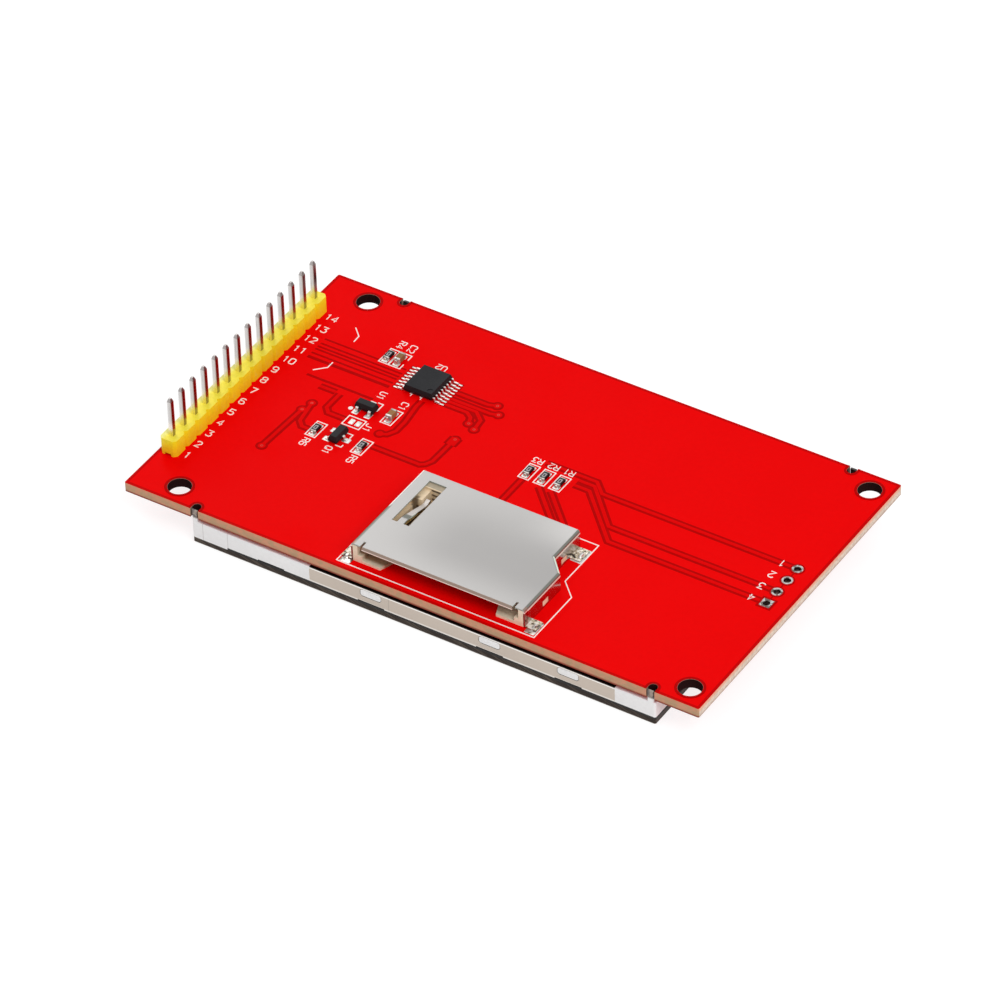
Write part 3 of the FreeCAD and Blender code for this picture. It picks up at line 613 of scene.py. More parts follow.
def lacquer(settings):
    """Red lacquer on the flat faces, cut laminate round the edge with ends made paler by painted light, and
    walls in the holes darkened by painted shade.
    """
    n = Finish("board lacquer", Specular_IOR_Level=LACQUER_SHINE)
    x, y, z = n.spot()
    flat = n.math("GREATER_THAN", n.math("ABSOLUTE", n.tilt()[2]), 0.5)
    # how far a point lies in from the board's two ends and from its long edges
    in_x = n.math("MINIMUM", x, n.minus(LENGTH, x))
    in_y = n.math("MINIMUM", y, n.minus(WIDTH, y))
    end = n.math("LESS_THAN", in_x, 0.02)
    edge = n.most(n.math("LESS_THAN", in_x, 1.0), n.math("LESS_THAN", in_y, 0.02))
    red, fine = n.grain(LACQUER_GRAIN, settings.lacquer, 0.965)
    # the copper stops short of the outline, and the lacquer is darker there
    border = n.step(n.math("MINIMUM", in_x, in_y), 0.5, 0.38)
    top = n.mix(border, red, settings.gap, 0.75)
    # painted shade: the board is brown where it is seen through the card socket's window, in the shade under
    # the socket
    seen = n.window(x, y, (36.9, 10.5), (1.9, 4.0), 0.1)
    top = n.mix(seen, top, (0.10, 0.055, 0.03))
    # glass cloth shows as layers along the cut edge
    layers = n.noise(n.stretch(n.place, (900.0, 900.0, 7000.0)), 1.0, 3.0)
    # painted light: the board's ends get a paler laminate than its long edges
    pale = n.mix(0.62, settings.laminate, (0.86, 0.82, 0.72))
    cut = n.mix(end, settings.laminate, pale)
    cut = n.mix(n.step(layers, 0.35, 0.7), n.mix(0.86, (0.20, 0.06, 0.04), cut), cut)
    # it is mottled grey and pink, redder towards the lacquer above and dark red below
    patches = n.step(n.noise(n.place, 800.0, 3.0, 0.6), 0.40, 0.60)
    olive_pink = n.mix(patches, (0.40, 0.34, 0.20), (0.74, 0.32, 0.21))
    # painted light: the ends take paler tan and cream specks where the long edges are olive and pink
    specks = n.step(n.noise(n.place, 2200.0, 3.0, 0.7), 0.38, 0.62)
    tan_cream = n.mix(specks, (0.60, 0.48, 0.38), (1.0, 0.82, 0.68))
    cut = n.mix(n.between(end, 0.38, 0.45), cut, n.mix(end, olive_pink, tan_cream))
    cut = n.mix(n.step(z, -0.75, -0.20), cut, (0.90, 0.34, 0.19), n.between(end, 0.12, 0.62))
    skin = n.step(z, 0.42 - THICK, 0.06 - THICK)
    cut = n.mix(skin, cut, (0.22, 0.022, 0.018), n.between(end, 0.88, 0.35))
    # painted shade: the walls in the holes and notches are near black, and a little lighter at a notch's
    # mouth
    mouth = n.step(in_y, 0.6, 0.35)
    wall = n.mix(edge, n.mix(mouth, settings.hole, (0.25, 0.18, 0.14)), cut)
    height = n.plus(n.times(fine, 0.12), n.times(layers, n.minus(1.0, flat)))
    gloss = n.between(flat, 0.75, n.between(n.smudges(), 0.30, 0.42))
    return n.done(height, 0.03, Base_Color=n.mix(flat, wall, top), Roughness=gloss)


def lacquer_over(name, colour, shade):
    """The same lacquer over tracks or bare laminate."""
    return plain_finish(name, colour, 0.36, LACQUER_GRAIN, shade, 0.002, Specular_IOR_Level=LACQUER_SHINE)


def row(x, y, count):
    """Places along the board's width at the pin pitch."""
    return [(x, y + PITCH * i) for i in range(count)]


TRACKS = [
    [(44.6, 30.8), (52.2, 30.8), (54.0, 29.1), (82.2, 29.1)],
    [(50.0, 29.9), (52.4, 29.9), (58.1, 24.05), (82.2, 24.05)],
    [(50.0, 28.8), (52.3, 28.8), (59.6, 21.5), (82.2, 21.5)],
    [(43.6, 26.6), (43.6, 18.4)],
    [(46.3, 26.2), (50.9, 21.7), (53.6, 19.0)],
    [(48.1, 26.2), (52.7, 21.7), (55.0, 19.4)],
    [(27.0, 36.9), (31.8, 36.9), (33.0, 37.3)],
    [(27.0, 35.5), (33.0, 35.5), (34.1, 35.8)],
    [(27.0, 34.9), (31.3, 34.9), (32.7, 33.7), (32.95, 31.7)],
    [(27.0, 34.2), (30.3, 34.2), (31.2, 33.6), (31.7, 32.4)],
    [(23.95, 33.2), (23.95, 31.8), (24.42, 28.4), (24.41, 26.34), (23.8, 25.2), (22.9, 24.8)],
    [(23.4, 22.2), (30.7, 22.2), (31.3, 22.6), (31.8, 23.6), (31.9, 28.2)],
    [(14.0, 29.0), (14.0, 25.9), (14.8, 25.05), (17.4, 25.05)],
    [(11.9, 25.6), (12.5, 21.9), (13.4, 21.0), (14.6, 21.0)],
    [(11.5, 23.9), (11.1, 15.1)],
    [(10.8, 29.1), (13.3, 29.1)],
]
# Bare lines with no track inside, and their widths.
THIN_GAPS = [
    *[([(6.0, y), (18.7, y)], 0.3) for y in (37.6, 36.6, 35.9, 35.3, 34.4)],
    ([(6.0, 33.5), (18.7, 33.5)], 0.5),
    ([(8.0, 30.3), (18.3, 30.3)], 0.4),
    *[([(SPARE_X, y + 1.0), (SPARE_X, y + PITCH - 1.0)], 0.18)
      for y in (SPARE_Y + PITCH * i for i in range(SPARE_COUNT - 1))],
]
# Covered vias. The first one shows no ring.
VIAS = [
    (22.9, 24.85), (33.0, 37.3), (34.1, 35.8), (32.95, 31.7), (31.7, 32.4), (11.9, 25.6), (11.5, 23.9),
    (11.1, 15.1), (31.95, 28.75),
]
WIDE_END = [(31.92, 27.5), (31.92, 29.1)]


def raised(forms, step=LAYER):
    """Lifts each form's upper side a little more than the one before, so that no two tops meet."""
    for i, form in enumerate(forms):
        form.points[:, 2] += np.where(form.points[:, 2] > 0, i * step, 0)
    return forms


def round_notch(x, edge, way, radius, width, top):
    """A flat strip round a notch: straight in from the board's edge, round a half circle and out again."""
    middle = radius + width / 2
    angle = np.linspace(math.pi, 0, 17)
    flat = np.stack([middle * np.cos(angle), NOTCH_MIDDLE + middle * np.sin(angle)], 1)
    flat = np.vstack([[(-middle, 0.03)], flat, [(middle, 0.03)]])
    return strip((flat * (1, way) + (x, edge))[::way], width, top)


def lay_tracks(settings):
    """Lines of bare laminate in the copper pour, the tracks inside them and the covered vias."""
    gap, width = settings.gap_width / MM, settings.track_width / MM
    spare = row(SPARE_X, SPARE_Y, SPARE_COUNT)
    square = np.array(spare[0] * 2) + (-0.9, -0.9, 0.9, 0.9)
    gaps = [strip(path, gap, GAP_TOP) for path in TRACKS]
    gaps += [strip(path, w, GAP_TOP) for path, w in THIN_GAPS]
    gaps += [turned(x, y, [(VIA_CLEAR, SUNK), (VIA_CLEAR, GAP_TOP), (0, GAP_TOP)]) for x, y in VIAS]
    gaps += [strip(WIDE_END, WIDE_GAP, GAP_TOP)]
    gaps += [strip([(x, y), (x + way * (LEAD_LAND + 0.1), y)], 0.5, GAP_TOP) for x, y, way in lead_feet()]
    gaps += [ring_of(x, y, 0.6, 1.0, GAP_TOP) for x, y in spare[1:]]
    gaps += [strip(box_path(*square), 0.3, GAP_TOP, True)]
    gaps += [ring_of(x, y, MOUNT_RADIUS + 0.02, MOUNT_RADIUS + 0.38, GAP_TOP, count=48) for x, y in MOUNTS]
    gaps += [round_notch(*place, NOTCH_RADIUS + 0.02, 0.34, GAP_TOP) for place in NOTCHES]
    bare = lacquer_over("lacquer between copper", settings.gap, 0.9)
    new_piece("track_gaps", raised(gaps), bare)
    tracks = [strip(path, width, TRACK_TOP) for path in TRACKS]
    tracks += [strip(WIDE_END, WIDE_TRACK, TRACK_TOP)]
    cap = [(VIA_RADIUS + 0.02, SUNK), (VIA_RADIUS, TRACK_TOP), (0, TRACK_TOP)]
    tracks += [turned(x, y, cap) for x, y in VIAS]
    covered = lacquer_over("lacquer over tracks", settings.track, 0.94)
    new_piece("tracks", raised(tracks, LAYER / 2), covered)
    rings = [ring_of(x, y, VIA_HOLE, VIA_RING, TRACK_TOP + 0.012, 0.01, 20) for x, y in VIAS[1:]]
    new_piece("via_rings", rings, lacquer_over("lacquer over via rings", settings.via, 0.6))
    rims = [ring_of(x, y, MOUNT_RADIUS - 0.01, MOUNT_RADIUS + 0.06, 0.012, count=48) for x, y in MOUNTS]
    rims += [round_notch(*place, NOTCH_RADIUS - 0.01, 0.13, 0.014) for place in NOTCHES]
    new_piece("hole_rims", rims, plain_finish("drilled rim", settings.rim, 0.5, 5000.0, 0.6))


# Each printed line's path, and whether it closes on itself.
LEGEND_LINES = [
    ([(31.9, 1.06), (61.35, 1.06), (61.35, 9.95), (59.0, 12.2), (59.0, 20.2), (31.9, 20.2)], True),
    ([(8.2, 41.6), (9.55, 40.3), (9.6, 39.0)], False),
    ([(9.6, 34.0), (9.6, 32.8), (8.2, 31.4)], False),
    (box_path(14.6, 37.3, 16.0, 40.3), True),
    ([(17.85, 38.3), (17.85, 37.3), (16.1, 37.3), (16.1, 40.3), (17.85, 40.3), (17.85, 39.3)], False),
    *[(box_path(*corners), True) for corners in (
        (21.6, 26.9, 23.2, 29.9), (14.6, 19.9, 16.1, 22.9), (21.6, 19.9, 23.2, 22.9),
        (42.85, 26.6, 44.4, 29.6), (45.15, 26.6, 46.75, 29.6), (47.5, 26.6, 49.05, 29.6),
        (17.5, 24.1, 20.1, 26.0),
    )],
    ([(19.2, 22.8), (20.1, 22.8), (20.1, 22.0)], False),
    ([(19.2, 20.0), (20.1, 20.0), (20.1, 20.5)], False),
    ([(19.3, 30.0), (20.1, 30.0), (20.1, 28.4)], False),
]
# The dot beside the regulator, and the corner ticks beside the touch controller.
DOT, DOT_RADIUS = (16.8, 27.3), 0.32
TICKS, TICK_WIDTH = [(22.1, 33.75), (23.6, 33.75)], 0.13
# Each part's letters, their middle and their turn in degrees.
LABELS = [
    ("R4", 15.4, 41.6, 270), ("C2", 17.1, 41.6, 270), ("U2", 22.5, 40.25, 180), ("U1", 18.9, 31.5, 270),
    ("C1", 22.5, 31.1, 270), ("J1", 20.9, 25.1, 270), ("R6", 15.4, 18.6, 270), ("Q1", 18.8, 18.7, 270),
    ("R5", 22.6, 18.7, 270), ("R3", 43.5, 30.55, 180), ("R2", 45.9, 30.55, 180), ("R1", 48.2, 30.55, 180),
]


def print_markings(settings):
    """White ink: the outlines round parts, plain numbers and the parts' letters."""
    ink = plain_finish("marking ink", settings.ink, 0.5, 6000.0, 0.94)
    width, height = settings.ink_width / MM, settings.number_height / MM
    stroke = settings.number_stroke / MM
    lines = [strip(path, width, INK_TOP, closed) for path, closed in LEGEND_LINES]
    lines += [turned(*DOT, [(DOT_RADIUS, SUNK), (DOT_RADIUS, INK_TOP), (0, INK_TOP)])]
    lines += [strip([(x - 0.3, y), (x, y), (x, y - 0.45)], TICK_WIDTH, INK_TOP) for x, y in TICKS]
    new_piece("marking_lines", lines, ink)
    letters = []
    for number, (_, y) in enumerate(row(PIN_X, PIN_Y, PIN_COUNT), 1):
        text = str(number)
        letters += written(text, NUMBER_X + SECOND_DIGIT_SHIFT * (len(text) - 1), y, height, stroke)
    for number, (_, y) in enumerate(reversed(row(SPARE_X, SPARE_Y, SPARE_COUNT)), 1):
        letters += written(str(number), SPARE_NUMBER_X, y, height, stroke, 180)
    height, stroke = settings.letter_height / MM, settings.letter_stroke / MM
    for text, x, y, turn in LABELS:
        letters += written(text, x, y, height, stroke, turn, 5.2)
    new_piece("marking_letters", letters, ink)


# Solder


def solder_metal(name, settings, roughness=0.3, flux=0.5, patch=1500.0):
    """Tinned metal with a lumpy skin: dark flux in its hollows and cream where it is thin."""
    n = Finish(name, Metallic=1.0)
    lumps = n.noise(n.place, patch, 3.0, 0.6)
    stain = n.step(n.noise(n.place, patch * 0.8, 3.0, 0.65), 0.60 - 0.12 * flux, 0.70 - 0.08 * flux)
    cream = n.step(n.noise(n.place, patch * 0.5), 0.5, 0.6)
    tin = n.grain(5000.0, settings.solder, 0.8)[0]
    tone = n.mix(cream, tin, (0.86, 0.74, 0.52), 0.5 * flux)
    tone = n.mix(stain, tone, settings.flux, min(1.0, flux * 1.2))
    gloss = n.between(lumps, roughness - 0.08, roughness + 0.12)
    return n.done(lumps, 0.05, Base_Color=tone, Roughness=gloss)


def hole_metal():
    """Grey plating that is stained in patches on the rings, with painted shade inside the barrels."""
    n = Finish("hole plating", Metallic=1.0)
    patches = n.noise(n.place, 1900.0, 2.0, 0.6)
    stain = n.step(patches, 0.44, 0.56)
    # painted shade: below the board's top the barrels are dark
    inside = n.step(n.spot()[2], 0.03, -0.05)
    tone = n.mix(stain, (0.42, 0.41, 0.40), (0.12, 0.10, 0.09))
    recess_shade = n.mix(stain, (0.30, 0.22, 0.20), (0.05, 0.03, 0.025))
    tone = n.mix(inside, tone, recess_shade)
    return n.done(patches, 0.03, Base_Color=tone, Roughness=n.between(patches, 0.25, 0.45))


CHIPS = [*(f"resistor_{i}" for i in range(1, 7)), "capacitor_1", "capacitor_2"]
REGULATOR_FEET = [(17.75, 27.1), (19.65, 27.1), (18.7, 29.4)]
TRANSISTOR_FEET = [(17.6, 22.45), (17.6, 20.55), (19.95, 21.5)]
BRIDGE_LANDS = [(18.45, 25.075), (19.45, 25.075)]
# At the card socket's tabs: each land's corners, and each joint's place, half sizes and height.
TAB_LANDS = [(32.15, 1.2, 33.75, 3.3), (59.65, 1.35, 61.15, 3.95), (57.25, 16.0, 58.95, 18.8)]
TAB_JOINTS = [(32.7, 2.35, 0.5, 0.75, 0.35), (60.45, 2.7, 0.5, 0.9, 0.4), (58.25, 17.3, 0.5, 1.0, 0.4)]


def chip_ends(node):
    """The two end places of a chip part whose long side lies along the board's width."""
    low, high = in_board(node)
    x = (low[0] + high[0]) / 2
    return [(x, low[1]), (x, high[1])], (high[0] - low[0]) / 2, high[2]


def lead_feet():
    """Where the touch controller's solder lands start under its leads, and which way they run."""
    low, high = in_board("touch_controller_leads")
    middle = (low[1] + high[1]) / 2
    first = middle - (LEADS_A_SIDE - 1) / 2 * LEAD_PITCH
    return [(foot - way * 0.75, first + i * LEAD_PITCH, way)
            for i in range(LEADS_A_SIDE) for foot, way in ((low[0], -1), (high[0], 1))]


def solder_small_parts():
    """Lands under every small part, and fillets at the chip ends and leads."""
    lands, joints = [], []
    for node in CHIPS:
        ends, half, top = chip_ends(node)
        for (x, y), way in zip(ends, (-1, 1)):
            reach, rise = (0.5, 0.7) if way < 0 else (0.36, 0.45)
            near, far = sorted((y - way * 0.3, y + way * reach))
            lands.append(land(x - half - 0.04, near, x + half + 0.04, far))
            joints.append(fillet(x, y + way * 0.06, half * 0.92, 0.3, top * rise, 4.0))
    for x, y, way in lead_feet():
        left, right = sorted((x, x + way * LEAD_LAND))
        lands.append(land(left, y - LEAD_LAND_HALF, right, y + LEAD_LAND_HALF, count=20))
        joints.append(fillet(x + way * 0.8, y, 0.3, 0.12, 0.13, count=16))
    for feet, half_land, half_joint in ((REGULATOR_FEET, (0.45, 0.55), (0.3, 0.36)),
                                        (TRANSISTOR_FEET, (0.55, 0.45), (0.36, 0.3))):
        for x, y in feet:
            lands.append(land_at(x, y, *half_land))
            joints.append(fillet(x, y, *half_joint, 0.18))
    lands += [land_at(x, y, 0.36, 0.525) for x, y in BRIDGE_LANDS]
    return lands, joints


def socket_solder():
    """Lands and lumpy joints at the card socket's tabs and behind its contacts."""
    forms = [land(*corners, power=14) for corners in TAB_LANDS]
    forms += [fillet(*place_and_size) for place_and_size in TAB_JOINTS]
    low, high = in_board("card_contacts")
    forms += [land(x - 0.45, 18.9, x + 0.45, 20.1) for x in np.linspace(low[0] + 0.3, high[0] - 0.3, 9)]
    return forms


def pin_solder():
    """Under the board, a cone of solder round each pin's tail.

    Going up from the tip, its radius grows with the power 2.4 of the height.
    """
    t = np.linspace(0, 1, 7)
    curve = np.stack([PIN_CONE[0] + (PIN_CONE[1] - PIN_CONE[0]) * t ** 2.4, -THICK - 0.9 * (1 - t)], 1)
    profile = np.vstack([[(0, -THICK - 0.93)], curve, [(PIN_CONE[1], -THICK + 0.02)]])
    return [turned(x, y, profile) for x, y in row(PIN_X, PIN_Y, PIN_COUNT)]


def hole_plating():
    """Rings and barrels of the spare holes, and rings of the connector's holes under the board."""
    forms = []
    bottom, top = -THICK - LAND_TOP, LAND_TOP
    barrel = [(PLATED_RING, bottom), (PLATED_RING, top), (PLATED_BORE + 0.03, top), (PLATED_BORE, top - 0.05),
              (PLATED_BORE, bottom + 0.05), (PLATED_BORE + 0.03, bottom)]
    for i, (x, y) in enumerate(row(SPARE_X, SPARE_Y, SPARE_COUNT)):
        forms.append(turned(x, y, barrel, count=40, ring=True))
        if i == 0:
            # the first land is square: four bars round the ring
            forms.append(strip(box_path(x - 0.64, y - 0.64, x + 0.64, y + 0.64), 0.24, top + 0.004, True))
    forms += [ring_of(x, y, 0.3, 0.85, -THICK + 0.01, -THICK - 0.03, 24)
              for x, y in row(PIN_X, PIN_Y, PIN_COUNT)]
    return forms


def solder_parts(settings):
    """Lands under every part, fillets at the chip ends and leads, and plated holes."""
    lands, joints = solder_small_parts()
    for name, forms, material in (
        ("solder_lands", lands, solder_metal("tinned land", settings, 0.34, 0.3, 2200.0)),
        ("solder_joints", joints, solder_metal("solder", settings, 0.22, 0.12, 1800.0)),
        ("socket_solder", socket_solder(), solder_metal("fluxed solder", settings, 0.3, 0.7, 1100.0)),
        ("pin_solder", pin_solder(), solder_metal("pin solder", settings, 0.22, 0.3)),
        ("hole_plating", hole_plating(), hole_metal()),
    ):
        new_piece(name, forms, material)


# Finishes of the CAD parts


def glazed_chip(node, name, colour, end_colour, band, mark=None):
    """Glazed body with tinned ends a band wide, and a printed frame on its top where there is a mark."""
    n = Finish(name, Specular_IOR_Level=0.08)
    (left, near, _), (right, far, high) = in_board(node)
    x, y, z = n.spot()
    centre, middle, half = (left + right) / 2, (near + far) / 2, (far - near) / 2
    away = n.math("ABSOLUTE", n.minus(y, middle))
    end = n.step(away, half - band - 0.01, half - band + 0.01)
    body = n.grain(6000.0, colour, 0.75)[0]
    if mark:
        outer = n.window(x, y, (centre, middle), (0.25, 0.40), 0.02)
        inner = n.window(x, y, (centre, middle), (0.11, 0.22), 0.02)
        top = n.math("GREATER_THAN", z, high - 0.05)
        ring = n.times(top, n.minus(outer, n.times(inner, 0.9)))
        blot = n.step(n.noise(n.place, 9000.0), 0.3, 0.7)
        body = n.mix(ring, body, mark, n.between(blot, 1.0, 0.7))
    lumps = n.noise(n.place, 2500.0)
    tin = n.mix(n.step(lumps, 0.4, 0.62), end_colour, shaded(end_colour, 0.45))
    # painted shade: the far end is darker than the near one
    tin = n.mix(n.step(y, middle, middle + 0.1), tin, (0.16, 0.14, 0.12), 0.55)
    dress(n.done(lumps, 0.015, Base_Color=n.mix(end, body, tin), Metallic=n.times(end, 0.7),
                 Roughness=n.between(end, 0.34, 0.3)), node)


def finish_small_parts(settings):
    """Packages, leads, resistors and capacitors."""
    for i in range(1, 7):
        glazed_chip(f"resistor_{i}", f"resistor {i}", settings.resistor, settings.cap, 0.2, settings.ceramic)
    for i in (1, 2):
        glazed_chip(f"capacitor_{i}", f"capacitor {i}", settings.capacitor, settings.solder, 0.3)
    package = plain_finish("moulded package", settings.package, 0.55, 5000.0, 0.7, 0.02,
                           Specular_IOR_Level=0.22)
    dress(package, "touch_controller", "regulator", "transistor")
    leads = solder_metal("tinned lead", settings, 0.28, 0.0)
    dress(leads, "touch_controller_leads", "regulator_leads", "transistor_leads")


def yellow_nylon(settings):
    """Yellow moulding with painted light: lemon on top, deeper at its sides and darker low on them, and a
    painted highlight along the top's left edge.
    """
    n = Finish("yellow nylon", Specular_IOR_Level=0.35)
    x, _, z = n.spot()
    (left, _, bottom), (_, _, high) = in_board("header_housing")
    # painted light: the top is lemon and the sides deeper, darkening towards the board
    up = n.step(n.tilt()[2], 0.4, 0.8)
    side = n.mix(n.step(z, bottom + 0.3, high), shaded(settings.housing_side, (0.95, 0.82, 1.0)),
                 shaded(settings.housing_side, (1.0, 1.14, 1.6)))
    # painted highlight: the top is paler along its left edge
    top = n.mix(n.step(x, left + 0.95, left + 0.2), settings.housing, (1.0, 0.95, 0.28))
    tone, height = n.grain(2600.0, n.mix(up, side, top), 0.88)
    return n.done(height, 0.012, Base_Color=tone, Roughness=n.between(n.smudges(), 0.38, 0.5))


def plated_pin(settings):
    """Plated wire drawn out along its length: bright, with fine streaks, two sides darkened by painted
    reflection of the red board, a tip darkened by painted shade, and painted highlights.
    """
    n = Finish("plated pin", Metallic=1.0)
    x, y, z = n.spot()
    tilt = n.tilt()
    streak = n.noise(n.stretch(n.place, (5000.0, 5000.0, 350.0)), 1.0, 3.0, 0.6)
    # painted reflection: a pin's right faces and the right part of its near face mirror the red board, but
    # its far right edge stays bright; a painted highlight lights the left part of its near face
    along = n.math("WRAP", n.minus(y, PIN_Y), PITCH / 2, -PITCH / 2)
    across = n.minus(x, PIN_X)
    smudge_and_reflection = n.times(n.step(tilt[0], 0.2, 0.6), n.between(n.step(along, 0.12, 0.28), 1.0, 0.15))
    # painted shade on the tip's upward faces
    smudge_and_reflection = n.most(smudge_and_reflection, n.times(n.step(tilt[2], 0.1, 0.3), 0.5))
    smudge_and_reflection = n.plus(n.times(smudge_and_reflection, n.between(streak, 1.1, 0.7)), n.times(n.step(streak, 0.56, 0.7), 0.3))
    front = n.step(tilt[1], -0.2, -0.6)
    brown = n.times(front, n.step(across, 0.12, 0.28))
    light = n.times(front, n.step(across, -0.16, -0.24))
    tone = n.mix(brown, settings.pin, (0.36, 0.20, 0.15), 0.55)
    tone = n.mix(light, tone, (0.78, 0.77, 0.77))
    # painted reflection of the yellow housing: low down the pin is paler and warmer, and the board's painted
    # reflection fades
    foot = n.step(z, 5.2, 3.8)
    tone = n.mix(foot, tone, (0.92, 0.84, 0.72), 0.7)
    tone = n.mix(smudge_and_reflection, tone, settings.pin_dull, n.between(foot, 1.0, 0.75))
    return n.done(streak, 0.008, Base_Color=tone, Roughness=n.between(streak, 0.16, 0.34))


def finish_connector(settings):
    """Yellow housing and plated pins."""
    dress(yellow_nylon(settings), "header_housing")
    dress(plated_pin(settings), *(f"header_pin_{i:02d}" for i in range(1, PIN_COUNT + 1)))


def socket_steel(settings):
    """Satin sheet on the flat top with a painted reflection, mirror walls of lighter steel, bends darkened by
    painted reflection above and a cream painted highlight below, and a pale leaf.
    """
    n = Finish("socket steel")
    x, y, z = n.spot()
    tilt = n.tilt()
    lines, cloud = n.rolled()
    (left, near, bottom), (right, far, top) = in_board("card_socket_shell")
    half_way = (near + far) / 2
    # painted reflection: the top mirrors a soft room, darker in the middle and the near right, brighter at
    # the far right
    middle = n.times(n.step(x, left + 2, left + 14), n.step(y, far + 1, far - 9),
                     n.step(y, near - 1, near + 6))
    corner = n.times(n.step(x, right - 12, right - 2), n.step(y, far - 6, far))
    tone = n.mix(middle, settings.shell, shaded(settings.shell, 0.78))
    tone = n.mix(corner, tone, shaded(settings.shell, 1.25))
    upright = n.step(tilt[2], 0.06, 0.02)
    bent = n.times(n.step(tilt[2], 0.02, 0.06), n.step(tilt[2], 0.995, 0.985))
    # painted highlight: a bright line runs below the bends, on the slanting corner and along the left edge's
    # far half
    line = n.times(upright, n.step(z, top - 0.68, top - 0.60))
    left_rear = n.times(n.step(tilt[0], -0.05, -0.2), n.step(y, half_way, half_way + 0.5))
    slanting = n.times(n.step(tilt[0], 0.1, 0.25), n.step(tilt[1], 0.1, 0.25))
    bright = n.most(line, n.times(n.most(left_rear, slanting), bent))
    # painted light on the lip: a pink painted highlight below its bend, and a dark red rim of painted
    # reflection
    front = n.step(y, near + 1.1, near + 0.9)
    lip_highlight = n.times(upright, n.inside(z, top - 0.44, 0.09, 0.03))
    lip_board_reflection = n.times(front, upright, n.step(z, top - 0.54, top - 0.60))
    bright = n.between(front, bright, lip_highlight)
    # painted reflection: the bends' dark colour reaches onto the flatter facets along the left edge's near
    # half
    left_near = n.times(n.step(x, 34.05, 33.98), n.step(y, half_way + 1.0, half_way))
    bent = n.most(bent, n.times(left_near, n.step(tilt[2], 0.9, 0.95)))
    # painted light: the walls are a lighter steel than the top, and the bends are darkened by painted
    # reflection, warmer at the front
    tone = n.mix(upright, tone, settings.wall)
    tone = n.mix(bent, tone, n.mix(front, settings.bend, (0.30, 0.22, 0.18)))
    fold = n.mix(front, n.mix(left_rear, settings.fold, (1.0, 1.0, 0.96)), (0.96, 0.72, 0.62))
    tone = n.mix(bright, tone, fold)
    tone = n.mix(lip_board_reflection, tone, (0.30, 0.05, 0.04), 0.85)
    cut = n.times(upright, n.step(z, top - 0.22, top - 0.19))
    tone = n.mix(cut, tone, (0.34, 0.36, 0.32))
    # solder has crept over the tabs, and the leaf spring shows pale in its window
    sunk = n.times(n.step(z, top - 0.22, top - 0.3), n.step(tilt[2], 0.3, 0.6))
    leaf = n.times(sunk, n.window(x, y, (left + 3.4, near + 11.0), (2.0, 6.0), 0.1))
    tab = n.times(sunk, n.step(z, bottom + 1.0, bottom + 0.8))
    tone = n.mix(leaf, tone, n.mix(lines, (0.50, 0.46, 0.45), (0.80, 0.74, 0.68)))
    spots = n.noise(n.place, 1700.0, 2.0, 0.6)
    clean = n.mix(n.step(spots, 0.50, 0.56), (0.55, 0.47, 0.33), (0.90, 0.86, 0.76))
    tone = n.mix(tab, tone, n.mix(n.step(spots, 0.38, 0.45), (0.02, 0.015, 0.01), clean))
    matt = n.most(n.times(bright, n.between(left_rear, 0.9, 0.0)), n.times(leaf, 0.85),
                  n.times(tab, 0.75), cut)
    gloss = n.between(upright, n.between(cloud, 0.26, 0.32), 0.2)
    return n.done(lines, 0.0004, Base_Color=tone, Metallic=n.minus(1.0, matt), Roughness=gloss)


def socket_moulding(settings):
    """Cream moulding: browner with painted shade a little way in from the mouth; below the window, darker on
    the rear top, with painted shade standing in for three slots and a painted shadow.
    """
    n = Finish("socket moulding")
    x, y, z = n.spot()
    tilt = n.tilt()
    (_, near, _), (_, far, top) = in_board("card_socket_base")
    tone = n.mix(n.step(y, near + 4.0, near + 5.0), settings.base, settings.base_inner)
    # painted shade: the moulding is browner a little way in from the mouth and below its top, more so at the
    # left
    recess_shade = n.times(n.step(y, near + 0.35, near + 0.9), n.step(y, near + 4.0, near + 2.5),
                   n.step(z, top - 0.15, top - 0.35))
    left = n.step(x, LENGTH / 2 + 2, LENGTH / 2 - 2)
    tone = n.mix(recess_shade, tone, settings.base_deep, n.between(left, 0.35, 0.88))
    # the rear wall's top is darker, and three dark bands of painted shade stand in for slots across its front
    # below the window
    rear = n.times(n.step(y, far - 2.3, far - 2.2), n.step(tilt[2], 0.5, 0.8))
    tone = n.mix(rear, tone, (0.33, 0.28, 0.20), 0.8)
    wall = n.times(n.step(tilt[1], -0.4, -0.8), n.step(y, 10, 12), n.inside(x, 37.1, 0.70, 0.05))
    for height in (2.3, 1.55, 0.85):
        tone = n.mix(n.times(wall, n.inside(z, height, 0.14, 0.05)), tone, (0.06, 0.03, 0.015), 0.9)
    shadow = n.window(x, y, (35.3, 14.3), (0.5, 0.45), 0.2)
    tone = n.mix(shadow, tone, (0.09, 0.05, 0.025), 0.8)
    tone, height = n.grain(2500.0, tone, 0.85)
    return n.done(height, 0.015, Base_Color=tone, Roughness=n.between(height, 0.5, 0.6))


def finish_socket(settings):
    """Steel shell, moulded base and plated contacts."""
    dress(socket_steel(settings), "card_socket_shell")
    dress(socket_moulding(settings), "card_socket_base")
    dress(plain_finish("contact spring", settings.contact, 0.28, 4000.0, 0.85, Metallic=1.0), "card_contacts")


